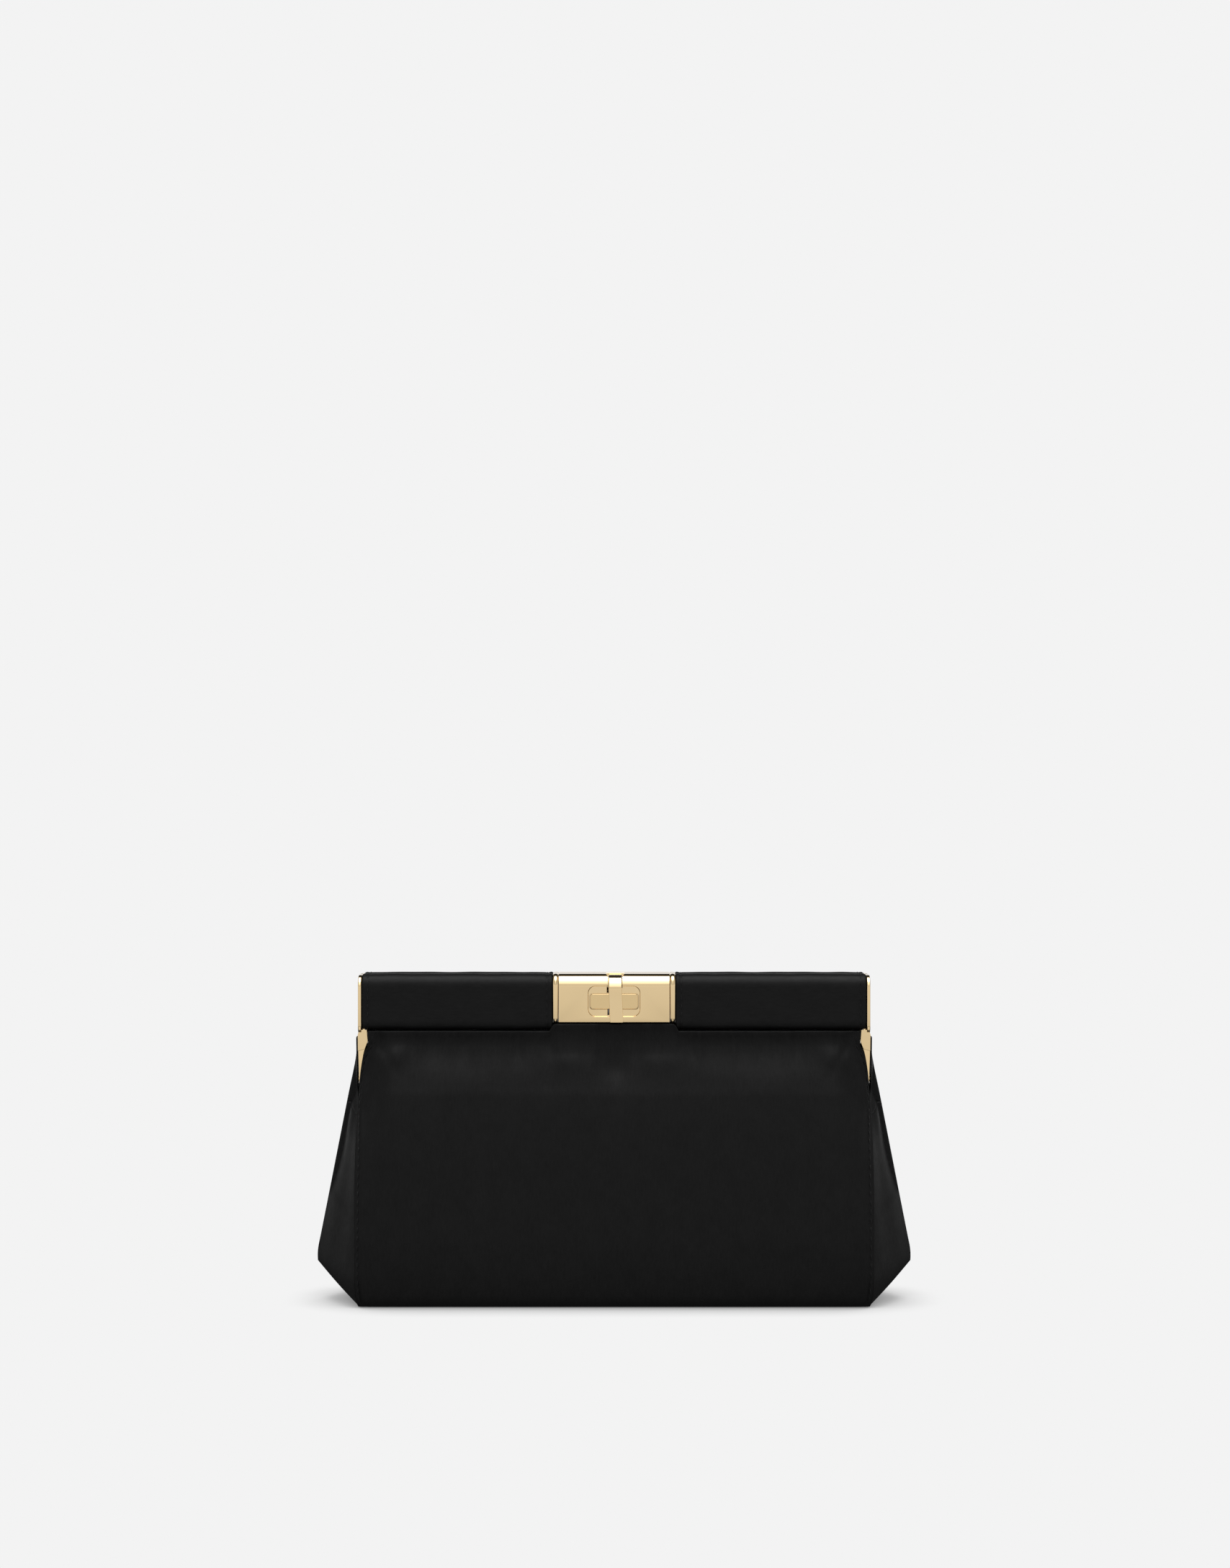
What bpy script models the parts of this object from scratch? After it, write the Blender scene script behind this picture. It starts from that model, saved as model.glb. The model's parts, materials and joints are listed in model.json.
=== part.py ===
"""Framed evening clutch: a satin bag on a two-leaf metal frame, with a lift-up clasp strap.

Metres, +Z up. The origin is on the floor under the middle of the base. The front is at -Y.
The two frame leaves turn about one line through the hidden side rivets, and the clasp strap
turns on a pin in the front plate.
"""
import math

import bmesh
import bpy
from mathutils import Matrix, Vector

# ---------------------------------------------------------------- driving dimensions (metres)
GAP = 0.0003                 # clearance between pieces that touch
CLOTH = 0.0010               # satin with its interlining
CUT_PAST = 0.0010            # cutters run this far past the face they open
SEGMENTS = 20                # sides of a small round piece

BASE_HALF_X = 0.1125
BASE_HALF_Y = 0.0274
BASE_THICK = 0.0012
BASE_CORNER = 0.0030

PARTING = 0.00025            # each leaf stops this far from the middle plane
BAR_FRONT = 0.0030           # frame bar, distances from the middle plane
BAR_BACK = 0.0014
BAR_LOW = 0.1265
BAR_HIGH = 0.1464
BAR_HALF_X = 0.1127
BAR_CORNER = 0.0015

ROLL_DEPTH = 0.0140
ROLL_LOW = 0.1237
ROLL_HIGH = 0.1488
ROLL_INNER_X = 0.0280
ROLL_OUTER_X = 0.1146
ROLL_TOP_RADIUS = 0.0055
ROLL_FOOT_RADIUS = 0.0042
ROLL_BACK_RADIUS = 0.0010
SLEEVE = 0.0008

PLATE_HALF_X = 0.0252
PLATE_FACE = 0.0142
PLATE_BACK = 0.0033
PLATE_LOW = 0.1271
PLATE_HIGH = 0.1490
PLATE_ROUND = 0.0055
PLATE_FOOT_RADIUS = 0.0012
LIP_RADIUS = 0.0004
COLLAR_INNER_X = 0.0255
COLLAR_WIDTH = 0.0020
COLLAR_PROUD = 0.0003        # the collar stands this far in front of the plate
COLLAR_DROP = 0.0008         # and reaches this far below it
COLLAR_EDGE = 0.0006

PIVOT_Z = 0.1005             # height of the frame's hinge line
BOSS_RADIUS = 0.0034
RIVET_RADIUS = 0.0012
ARM_INNER_X = 0.1131
ARM_LAP_X = 0.1149           # the two arms of a side lap about this plane
ARM_OUTER_X = 0.1166
ARM_DEPTH = 0.0120
ARM_BACK = 0.0005
ARM_SHOULDER_Z = 0.1215
ARM_TOP_Z = 0.1440
ARM_HEAD_DEPTH = 0.0116      # the arm's head goes up inside the roll
ARM_HEAD_FOOT_Y = 0.0085
ARM_HEAD_FOOT_Z = 0.1155

CLASP_X = 0.0005             # middle of the clasp strap's channel
LEVER_PIN_Y = -0.0054
LEVER_PIN_Z = 0.1469
LEVER_HALF_X = 0.0030
LEVER_THICK = 0.0014
LEVER_LEAN = math.radians(2.5)
LEVER_LOW = 0.1272

WIDEST_Z = 0.0223            # the gusset fold's lowest and widest point
WIDEST_X = 0.1358
GUSSET_TOP = 0.1200
LINING_TOP = 0.0955

# Half width of the front and back panels, and how far forward they lie, at each height. In the
# middle they bulge over the stiff boards. Their side edges run back to the frame's hinge.
PANEL_HALF_WIDTH = [(0.0004, 0.1146), (0.004, 0.1161), (0.014, 0.1170), (0.085, 0.1170),
                    (0.097, 0.1167), (0.103, 0.1162), (0.1077, 0.1154), (0.1125, 0.1142),
                    (0.1165, 0.1122), (0.119, 0.1119), (0.1231, 0.1120)]
PANEL_FORWARD = [(0.0004, 0.0290), (0.003, 0.0312), (0.007, 0.0332), (0.012, 0.0345),
                 (0.020, 0.0350), (0.032, 0.0343), (0.060, 0.0300), (0.080, 0.0262),
                 (0.094, 0.0228), (0.1038, 0.0196), (0.1117, 0.0164), (0.1165, 0.0143),
                 (0.120, 0.0131), (0.1231, 0.0126)]
PANEL_EDGE = [(0.0004, 0.0286), (0.003, 0.0306), (0.007, 0.0325), (0.012, 0.0337),
              (0.020, 0.0339), (0.032, 0.0332), (0.055, 0.0296), (0.072, 0.0246),
              (0.083, 0.0180), (0.0908, 0.0112), (0.0967, 0.0070), (0.1025, 0.0068),
              (0.1106, 0.0098), (0.1175, 0.0126), (0.1231, 0.0136)]
PANEL_WRAP_FROM = 0.85       # share of the half width where the panel starts to turn back
# Distance of the gusset's outward fold from the middle at each height.
GUSSET_FOLD = [(WIDEST_Z, WIDEST_X), (0.0935, 0.1218), (0.1105, 0.1187), (GUSSET_TOP, 0.1183)]

# ---------------------------------------------------------------- scene and collections
for old in list(bpy.data.objects):
    bpy.data.objects.remove(old, do_unlink=True)

scene = bpy.context.scene
parts = bpy.data.collections.new("clutch_purse")
scene.collection.children.link(parts)
cutters = bpy.data.collections.new("cutters")
scene.collection.children.link(cutters)


def principled(name, colour, roughness, metallic=0.0):
    """One Principled material."""
    material = bpy.data.materials.new(name)
    material.use_nodes = True
    shader = material.node_tree.nodes["Principled BSDF"]
    shader.inputs["Base Color"].default_value = (*colour, 1.0)
    shader.inputs["Roughness"].default_value = roughness
    shader.inputs["Metallic"].default_value = metallic
    return material


SATIN = principled("satin", (0.012, 0.012, 0.013), 0.45)
LINING = principled("lining", (0.020, 0.020, 0.022), 0.60)
BOARD = principled("board", (0.42, 0.36, 0.28), 0.90)
FOAM = principled("foam", (0.75, 0.73, 0.68), 0.95)
GOLD = principled("gold", (0.83, 0.67, 0.40), 0.22, 1.0)
STEEL = principled("steel", (0.60, 0.60, 0.62), 0.35, 1.0)


# ---------------------------------------------------------------- helpers
def add(name, mesh, material, collection=parts):
    """A named object with one material."""
    piece = bpy.data.objects.new(name, mesh)
    collection.objects.link(piece)
    mesh.materials.clear()
    if material:
        mesh.materials.append(material)
    return piece


def from_bmesh(name, shape):
    """A mesh from a bmesh, which is freed."""
    mesh = bpy.data.meshes.new(name)
    shape.to_mesh(mesh)
    shape.free()
    return mesh


def smooth(piece, degrees=35):
    """Smooth shading with sharp edges kept."""
    piece.data.shade_smooth()
    piece.data.set_sharp_from_angle(angle=math.radians(degrees))
    return piece


def bevel(piece, width, segments=2):
    """Rounded edges by a Bevel modifier."""
    modifier = piece.modifiers.new("round_edges", "BEVEL")
    modifier.width = width
    modifier.segments = segments
    modifier.limit_method = "ANGLE"
    modifier.angle_limit = math.radians(40)
    return piece


def cut(piece, cutter, operation="DIFFERENCE"):
    """A Boolean modifier with a guide object."""
    cutter.hide_render = True
    cutter.display_type = "WIRE"
    modifier = piece.modifiers.new(operation.lower() + "_" + cutter.name, "BOOLEAN")
    modifier.operation = operation
    modifier.object = cutter
    modifier.solver = "EXACT"
    return piece


AXES = {
    "X": Matrix(((0, 0, 1, 0), (1, 0, 0, 0), (0, 1, 0, 0), (0, 0, 0, 1))),
    "Y": Matrix(((1, 0, 0, 0), (0, 0, -1, 0), (0, 1, 0, 0), (0, 0, 0, 1))),
    "Z": Matrix.Identity(4),
}


def prism(outline, low, high, axis="X"):
    """A flat outline drawn across an axis and extruded along it from low to high, as a mesh.

    The outline is in (y, z) for X, (x, z) for Y and (x, y) for Z.
    """
    curve = bpy.data.curves.new("outline", "CURVE")
    curve.dimensions = "2D"
    curve.fill_mode = "BOTH"
    curve.extrude = (high - low) / 2
    spline = curve.splines.new("POLY")
    spline.points.add(len(outline) - 1)
    for point, place in zip(spline.points, outline):
        point.co = (place[0], place[1], 0, 1)
    spline.use_cyclic_u = True
    holder = bpy.data.objects.new("outline", curve)
    scene.collection.objects.link(holder)
    evaluated = holder.evaluated_get(bpy.context.evaluated_depsgraph_get())
    mesh = bpy.data.meshes.new_from_object(evaluated)
    bpy.data.objects.remove(holder)
    bpy.data.curves.remove(curve)
    middle = (low + high) / 2
    if axis == "Y":
        middle = -middle
    mesh.transform(AXES[axis] @ Matrix.Translation((0, 0, middle)))
    shape = bmesh.new()
    shape.from_mesh(mesh)
    bmesh.ops.remove_doubles(shape, verts=shape.verts, dist=0.00001)
    bmesh.ops.recalc_face_normals(shape, faces=shape.faces)
    shape.to_mesh(mesh)
    shape.free()
    return mesh


def rounded(corners, steps=5):
    """A closed outline whose corners, each (a, b, radius), are rounded with arcs."""
    outline = []
    count = len(corners)
    for index, (a, b, radius) in enumerate(corners):
        corner = Vector((a, b))
        if radius == 0:
            outline.append(tuple(corner))
            continue
        before = (Vector(corners[index - 1][:2]) - corner).normalized()
        after = (Vector(corners[(index + 1) % count][:2]) - corner).normalized()
        half_angle = before.angle(after) / 2
        centre = corner + (before + after).normalized() * radius / math.sin(half_angle)
        start = corner + before * radius / math.tan(half_angle) - centre
        end = corner + after * radius / math.tan(half_angle) - centre
        turn = start.angle_signed(end)
        for step in range(steps + 1):
            angle = -turn * step / steps
            outline.append((centre.x + start.x * math.cos(angle) - start.y * math.sin(angle),
                            centre.y + start.x * math.sin(angle) + start.y * math.cos(angle)))
    return outline


def box_outline(a_low, a_high, b_low, b_high, radius=0.0):
    """A rectangle's outline, rounded."""
    return rounded([(a_low, b_low, radius), (a_high, b_low, radius),
                    (a_high, b_high, radius), (a_low, b_high, radius)])


def disc(radius, low, high, centre_a, centre_b, axis, sides=SEGMENTS):
    """A cylinder along an axis, at (y, z) for X or (x, z) for Y."""
    shape = bmesh.new()
    bmesh.ops.create_cone(shape, cap_ends=True, segments=sides, radius1=radius, radius2=radius,
                          depth=high - low)
    mesh = from_bmesh("disc", shape)
    middle = (low + high) / 2
    if axis == "Y":
        middle = -middle
    mesh.transform(AXES[axis] @ Matrix.Translation((centre_a, centre_b, middle)))
    return mesh


def along(points, height):
    """Value at a height on a smooth curve through (height, value) points."""
    if height <= points[0][0]:
        return points[0][1]
    if height >= points[-1][0]:
        return points[-1][1]
    index = max(i for i in range(len(points) - 1) if points[i][0] <= height)

    def slope(i):
        low = points[max(i - 1, 0)]
        high = points[min(i + 1, len(points) - 1)]
        return (high[1] - low[1]) / (high[0] - low[0])

    (z0, v0), (z1, v1) = points[index], points[index + 1]
    span = z1 - z0
    t = (height - z0) / span
    return ((2 * t ** 3 - 3 * t ** 2 + 1) * v0 + (t ** 3 - 2 * t ** 2 + t) * span * slope(index)
            + (3 * t ** 2 - 2 * t ** 3) * v1 + (t ** 3 - t ** 2) * span * slope(index + 1))


def mirrored(mesh, factors):
    """A mirrored copy of a mesh about the axes' planes, with its faces turned out again."""
    copy = mesh.copy()
    copy.transform(Matrix.Diagonal((*factors, 1)))
    if factors[0] * factors[1] * factors[2] < 0:
        copy.flip_normals()
    return copy


def thicken(piece, thickness, offset=-1.0):
    """Cloth or board thickness by a Solidify modifier."""
    modifier = piece.modifiers.new("thickness", "SOLIDIFY")
    modifier.thickness = thickness
    modifier.offset = offset
    modifier.use_even_offset = True
    return piece


def y_span(side, near, far):
    """Low and high y of a stretch from near to far from the middle plane."""
    return (near, far) if side > 0 else (-far, -near)


SIDES = (("left", -1), ("right", 1))
LEAVES = (("front", -1), ("back", 1))

# ---------------------------------------------------------------- the bag's stiffened inside
add("base_panel", prism(box_outline(-BASE_HALF_X, BASE_HALF_X, -BASE_HALF_Y, BASE_HALF_Y,
                                    BASE_CORNER), 0.0, BASE_THICK, "Z"), SATIN)

BOARD_HALF_X = 0.1100
BASE_BOARD_HALF_Y = 0.0265
BASE_BOARD_CORNER = 0.0040
BASE_BOARD_LOW = BASE_THICK + GAP
BASE_BOARD_HIGH = BASE_BOARD_LOW + 0.0020
add("base_board", prism(box_outline(-BOARD_HALF_X, BOARD_HALF_X, -BASE_BOARD_HALF_Y,
                                    BASE_BOARD_HALF_Y, BASE_BOARD_CORNER),
                        BASE_BOARD_LOW, BASE_BOARD_HIGH, "Z"), BOARD)

WALL_LOW = BASE_BOARD_HIGH + GAP
BOARD_THICK = 0.0012
BOARD_FOOT_Y = 0.0290        # outer face of a wall board at its foot and at its top
BOARD_HEAD_Y = 0.0213
BOARD_TOP = 0.0935
LINING_CLOTH = 0.0008
LINING_HALF_X = 0.1095
BOARD_TOP_HALF_X = 0.0960
LINING_TOP_HALF_X = 0.0950
WALL_LEAN = (BOARD_FOOT_Y - BOARD_HEAD_Y) / (BOARD_TOP - WALL_LOW)


def wall_y(height, inset):
    """Distance from the middle plane of a face parallel to the wall boards, inset from them."""
    return BOARD_FOOT_Y - inset - WALL_LEAN * (height - WALL_LOW)


for leaf, side in LEAVES:
    low, high = y_span(side, BOARD_FOOT_Y - BOARD_THICK, BOARD_FOOT_Y)
    board_mesh = prism([(-BOARD_HALF_X, WALL_LOW), (BOARD_HALF_X, WALL_LOW),
                        (BOARD_TOP_HALF_X, BOARD_TOP), (-BOARD_TOP_HALF_X, BOARD_TOP)],
                       low, high, "Y")
    for vertex in board_mesh.vertices:
        vertex.co.y -= side * WALL_LEAN * (vertex.co.z - WALL_LOW)
    add(leaf + "_board", board_mesh, BOARD)

lining_shape = bmesh.new()
bmesh.ops.create_cube(lining_shape, size=1.0)
for vertex in lining_shape.verts:
    height = LINING_TOP if vertex.co.z > 0 else WALL_LOW
    half_x = LINING_TOP_HALF_X if vertex.co.z > 0 else LINING_HALF_X
    half_y = wall_y(height, BOARD_THICK + GAP)
    vertex.co = (math.copysign(half_x, vertex.co.x), math.copysign(half_y, vertex.co.y), height)
lid = max(lining_shape.faces, key=lambda face: face.calc_center_median().z)
bmesh.ops.delete(lining_shape, geom=[lid], context="FACES_ONLY")
lining = add("lining", from_bmesh("lining", lining_shape), LINING)
thicken(lining, LINING_CLOTH)

POCKET_HALF_X = 0.0600
POCKET_LOW = 0.0200
POCKET_HIGH = 0.0820
POCKET_INSET = BOARD_THICK + LINING_CLOTH + 2 * GAP
pocket_section = [(wall_y(POCKET_LOW, POCKET_INSET), POCKET_LOW),
                  (wall_y(POCKET_HIGH, POCKET_INSET), POCKET_HIGH),
                  (wall_y(POCKET_HIGH, POCKET_INSET + LINING_CLOTH), POCKET_HIGH),
                  (wall_y(POCKET_LOW, POCKET_INSET + LINING_CLOTH), POCKET_LOW)]
add("slip_pocket", prism(pocket_section, -POCKET_HALF_X, POCKET_HALF_X), LINING)

# ---------------------------------------------------------------- satin panels and gussets
PANEL_COLUMNS = 14
PANEL_ROWS = 12
PANEL_LOW = PANEL_FORWARD[0][0]
PANEL_HIGH = PANEL_FORWARD[-1][0]


def panel_mesh(side):
    """The open surface of a panel, seen from outside."""
    shape = bmesh.new()
    bmesh.ops.create_grid(shape, x_segments=PANEL_COLUMNS, y_segments=PANEL_ROWS, size=1.0)
    for vertex in shape.verts:
        height = PANEL_LOW + (vertex.co.y + 1) / 2 * (PANEL_HIGH - PANEL_LOW)
        across = math.sin(vertex.co.x * math.pi / 2)
        wrap = max(abs(across) - PANEL_WRAP_FROM, 0) / (1 - PANEL_WRAP_FROM)
        middle, edge = along(PANEL_FORWARD, height), along(PANEL_EDGE, height)
        vertex.co = (across * along(PANEL_HALF_WIDTH, height),
                     side * (middle + (edge - middle) * wrap ** 2), height)
    if side > 0:
        bmesh.ops.reverse_faces(shape, faces=shape.faces)
    return from_bmesh("panel", shape)


for leaf, side in LEAVES:
    panel = add(leaf + "_panel", panel_mesh(side), SATIN)
    thicken(panel, CLOTH)
    smooth(panel)

GUSSET_COLUMNS = 4
GUSSET_ROWS = 14
GUSSET_LOW = 0.0006
GUSSET_TUCK = 0.0016         # the gusset's edge lies this far behind the panel's
GUSSET_OUT = 0.0004
ARM_CLEAR_X = 0.1181         # the gusset passes outside the arms above the hinge
ARM_CLEAR_FROM = 0.0907
ARM_CLEAR_AT = 0.0966
GUSSET_TOP_HALF_Y = 0.0095


def gusset_edge(height):
    """The gusset's sewn edge: behind the panel's edge, then outside the frame's arm."""
    share = min(max((height - ARM_CLEAR_FROM) / (ARM_CLEAR_AT - ARM_CLEAR_FROM), 0), 1)
    sewn_x = along(PANEL_HALF_WIDTH, height) + GUSSET_OUT
    x = sewn_x * (1 - share) + ARM_CLEAR_X * share
    y = along(PANEL_EDGE, height) - GUSSET_TUCK
    if height > ARM_CLEAR_AT:
        start = along(PANEL_EDGE, ARM_CLEAR_AT) - GUSSET_TUCK
        rise = (height - ARM_CLEAR_AT) / (GUSSET_TOP - ARM_CLEAR_AT)
        y = start + (GUSSET_TOP_HALF_Y - start) * rise
    return Vector((x, -y, height))


def gusset_point(across, up):
    """A point of the right gusset's front half: across 0 at the seam, 1 at the fold."""
    edge = gusset_edge(GUSSET_LOW + up * (GUSSET_TOP - GUSSET_LOW))
    fold_z = WIDEST_Z + up * (GUSSET_TOP - WIDEST_Z)
    fold = Vector((along(GUSSET_FOLD, fold_z), 0, fold_z))
    return edge.lerp(fold, across)


def gusset_mesh():
    """The open surface of the right gusset: two folded halves and the turned-in foot."""
    shape = bmesh.new()

    def patch(columns, rows, place):
        grid = [[shape.verts.new(place(i / columns, j / rows)) for j in range(rows + 1)]
                for i in range(columns + 1)]
        for i in range(columns):
            for j in range(rows):
                shape.faces.new((grid[i][j], grid[i + 1][j], grid[i + 1][j + 1],
                                 grid[i][j + 1]))

    def back_half(across, up):
        point = gusset_point(across, up)
        return Vector((point.x, -point.y, point.z))

    def foot(across, over):
        point = gusset_point(across, 0)
        return Vector((point.x, point.y * (1 - 2 * over), point.z))

    patch(GUSSET_COLUMNS, GUSSET_ROWS, gusset_point)
    patch(GUSSET_COLUMNS, GUSSET_ROWS, back_half)
    patch(GUSSET_COLUMNS, 4, foot)
    bmesh.ops.remove_doubles(shape, verts=shape.verts, dist=0.00002)
    bmesh.ops.recalc_face_normals(shape, faces=shape.faces)
    top_face = max(shape.faces, key=lambda face: face.calc_center_median().z)
    if top_face.normal.x < 0:
        bmesh.ops.reverse_faces(shape, faces=shape.faces)
    return from_bmesh("gusset", shape)


right_gusset = gusset_mesh()
for name, side in SIDES:
    mesh = right_gusset if side > 0 else mirrored(right_gusset, (-1, 1, 1))
    gusset = add("gusset_" + name, mesh, SATIN)
    thicken(gusset, CLOTH)
    smooth(gusset)

# ---------------------------------------------------------------- hinge rivets
RIVET_HEAD = 0.0022
RIVET_HEAD_THICK = 0.0005
rivet_profile = [(0.0, ARM_OUTER_X + GAP + RIVET_HEAD_THICK),
                 (RIVET_HEAD, ARM_OUTER_X + GAP + RIVET_HEAD_THICK),
                 (RIVET_HEAD, ARM_OUTER_X + GAP),
                 (RIVET_RADIUS, ARM_OUTER_X + GAP),
                 (RIVET_RADIUS, ARM_INNER_X - GAP),
                 (RIVET_HEAD, ARM_INNER_X - GAP),
                 (RIVET_HEAD, ARM_INNER_X - GAP - RIVET_HEAD_THICK),
                 (0.0, ARM_INNER_X - GAP - RIVET_HEAD_THICK)]


def rivet(name, side):
    """A turned rivet along X through a pair of arms."""
    shape = bmesh.new()
    ring = [shape.verts.new((radius, 0, height)) for radius, height in rivet_profile]
    for first, second in zip(ring, ring[1:]):
        shape.edges.new((first, second))
    piece = add(name, from_bmesh(name, shape), GOLD)
    screw = piece.modifiers.new("turn", "SCREW")
    screw.angle = math.radians(360)
    screw.steps = SEGMENTS
    screw.render_steps = SEGMENTS
    screw.use_merge_vertices = True
    screw.merge_threshold = 0.00001
    piece.rotation_euler = (0, side * math.radians(90), 0)
    piece.location = (0, 0, PIVOT_Z)
    return piece


for name, side in SIDES:
    rivet("hinge_rivet_" + name, side)

# ---------------------------------------------------------------- joint axes
front_axis = bpy.data.objects.new("front_leaf_axis", None)
back_axis = bpy.data.objects.new("back_leaf_axis", None)
lever_axis = bpy.data.objects.new("clasp_lever_axis", None)
for empty in (front_axis, back_axis, lever_axis):
    parts.objects.link(empty)
front_axis.location = (0, 0, PIVOT_Z)
back_axis.location = (0, 0, PIVOT_Z)
lever_axis.parent = front_axis
lever_axis.location = (0, LEVER_PIN_Y, LEVER_PIN_Z - PIVOT_Z)
LEAF_AXIS = {"front": front_axis, "back": back_axis}


def hang(piece, empty):
    """Parent a piece to a joint's empty and leave it where it is."""
    place = Matrix.Translation(empty.location)
    if empty.parent:
        place = Matrix.Translation(empty.parent.location) @ place
    piece.parent = empty
    piece.matrix_parent_inverse = place.inverted()
    return piece


# ---------------------------------------------------------------- frame bars
NOTCH_HALF_X = 0.0043
NOTCH_LOW = 0.1396
MAGNET_X = 0.0170
MAGNET_Z = 0.1345
MAGNET_RADIUS = 0.0030
SCREW_X = 0.0225
SCREW_Z = 0.1375
SCREW_RADIUS = 0.0009
SCREW_DEPTH = 0.0070


for leaf, side in LEAVES:
    low, high = y_span(side, BAR_BACK, BAR_FRONT)
    bar = add("frame_bar_" + leaf,
              prism(box_outline(-BAR_HALF_X, BAR_HALF_X, BAR_LOW, BAR_HIGH, BAR_CORNER),
                    low, high, "Y"), STEEL)
    notch = add("notch_" + leaf, prism(box_outline(CLASP_X - NOTCH_HALF_X, CLASP_X + NOTCH_HALF_X,
                                                   NOTCH_LOW, BAR_HIGH + CUT_PAST),
                                       low - CUT_PAST, high + CUT_PAST, "Y"), None, cutters)
    cut(bar, notch)
    for name, end in SIDES:
        hole = add("magnet_hole_" + leaf + "_" + name,
                   disc(MAGNET_RADIUS + GAP, low - CUT_PAST, high + CUT_PAST, end * MAGNET_X,
                        MAGNET_Z, "Y"), None, cutters)
        cut(bar, hole)
        hole = add("bar_screw_hole_" + leaf + "_" + name,
                   disc(SCREW_RADIUS + GAP, low - CUT_PAST, high + CUT_PAST, end * SCREW_X,
                        SCREW_Z, "Y", 12), None, cutters)
        cut(bar, hole)
        magnet = add("closing_magnet_" + leaf + "_" + name,
                     disc(MAGNET_RADIUS, low, high, end * MAGNET_X, MAGNET_Z, "Y"), STEEL)
        hang(smooth(magnet), LEAF_AXIS[leaf])
    hang(bar, LEAF_AXIS[leaf])


def boss_outline(side, with_boss):
    """An arm's outline in (y, z), with its hinge boss or stopped above it."""
    top = [(side * ARM_BACK, ARM_SHOULDER_Z), (side * ARM_DEPTH, ARM_SHOULDER_Z)]
    if not with_boss:
        lap_z = PIVOT_Z + BOSS_RADIUS + 4 * GAP
        share = (lap_z - PIVOT_Z) / (ARM_SHOULDER_Z - PIVOT_Z)
        foot_y = BOSS_RADIUS + (ARM_DEPTH - BOSS_RADIUS) * share
        return top + [(side * foot_y, lap_z), (side * ARM_BACK, lap_z)]
    boss = []
    for step in range(13):
        angle = -math.pi * step / 12
        boss.append((side * BOSS_RADIUS * math.cos(angle), PIVOT_Z + BOSS_RADIUS * math.sin(angle)))
    return top + boss + [(side * ARM_BACK, PIVOT_Z + BOSS_RADIUS)]


def arm(leaf, side, name, end):
    """One frame arm: a full-width upper part and a half-lapped hinge boss."""
    boss_is_outer = leaf == "front"
    if boss_is_outer:
        boss_span = (ARM_LAP_X + GAP / 2, ARM_OUTER_X)
        upper_span = (ARM_INNER_X, ARM_LAP_X + 2 * GAP)
    else:
        boss_span = (ARM_INNER_X, ARM_LAP_X - GAP / 2)
        upper_span = (ARM_LAP_X - 2 * GAP, ARM_OUTER_X)
    pieces = []
    for label, span, with_boss in (("boss", boss_span, True), ("upper", upper_span, False)):
        low, high = (span[0], span[1]) if end > 0 else (-span[1], -span[0])
        pieces.append((label, prism(boss_outline(side, with_boss), low, high)))
    inner_low, inner_high = ARM_INNER_X + GAP, ROLL_OUTER_X - GAP
    if end < 0:
        inner_low, inner_high = -inner_high, -inner_low
    head_outline = [(side * BAR_BACK, ARM_TOP_Z), (side * ARM_HEAD_DEPTH, ARM_TOP_Z),
                    (side * ARM_HEAD_DEPTH, ARM_SHOULDER_Z - 2 * GAP),
                    (side * ARM_HEAD_FOOT_Y, ARM_HEAD_FOOT_Z),
                    (side * BAR_BACK, ARM_HEAD_FOOT_Z)]
    tag = leaf + "_" + name
    piece = add("hinge_arm_" + tag, pieces[0][1], GOLD)
    upper = add("arm_upper_" + tag, pieces[1][1], None, cutters)
    head = add("arm_head_" + tag, prism(head_outline, inner_low, inner_high), None, cutters)
    cut(piece, upper, "UNION")
    cut(piece, head, "UNION")
    low, high = sorted((end * (ARM_INNER_X - CUT_PAST), end * (ARM_OUTER_X + CUT_PAST)))
    hole = add("rivet_hole_" + tag, disc(RIVET_RADIUS + GAP, low, high, 0, PIVOT_Z, "X", 16),
               None, cutters)
    cut(piece, hole)
    hang(piece, LEAF_AXIS[leaf])


for leaf, side in LEAVES:
    for name, end in SIDES:
        arm(leaf, side, name, end)

# ---------------------------------------------------------------- padded rolls and end caps


def roll_outline(side, inset, back):
    """A roll's section in (y, z), inset from its outer face, with its flat side at back."""
    front = ROLL_DEPTH - inset
    return rounded([(side * back, ROLL_LOW + inset, ROLL_BACK_RADIUS),
                    (side * front, ROLL_LOW + inset, ROLL_FOOT_RADIUS - inset),
                    (side * front, ROLL_HIGH - inset, ROLL_TOP_RADIUS - inset),
                    (side * back, ROLL_HIGH - inset, ROLL_BACK_RADIUS)])


def tube(outline, low, high):
    """An open-ended tube of an outline in (y, z), from low to high in x."""
    shape = bmesh.new()
    ring = [shape.verts.new((low, y, z)) for y, z in outline]
    edges = [shape.edges.new((a, b)) for a, b in zip(ring, ring[1:] + ring[:1])]
    swept = bmesh.ops.extrude_edge_only(shape, edges=edges)
    moved = [item for item in swept["geom"] if isinstance(item, bmesh.types.BMVert)]
    bmesh.ops.translate(shape, verts=moved, vec=(high - low, 0, 0))
    bmesh.ops.recalc_face_normals(shape, faces=shape.faces)
    middle = Vector((0, sum(y for y, z in outline), sum(z for y, z in outline))) / len(outline)
    face = max(shape.faces, key=lambda item: item.calc_center_median().z)
    if (face.calc_center_median() - middle).dot(face.normal) < 0:
        bmesh.ops.reverse_faces(shape, faces=shape.faces)
    return from_bmesh("tube", shape)


CAP_INNER_X = 0.1149
CAP_OUTER_X = 0.1164
CAP_LOW = 0.1220
CAP_HIGH = 0.1484
CAP_FOOT_RADIUS = 0.0036
CAP_BACK_RADIUS = 0.0012
CAP_EDGE = 0.0005
CORE_BACK = BAR_FRONT + GAP

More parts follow.
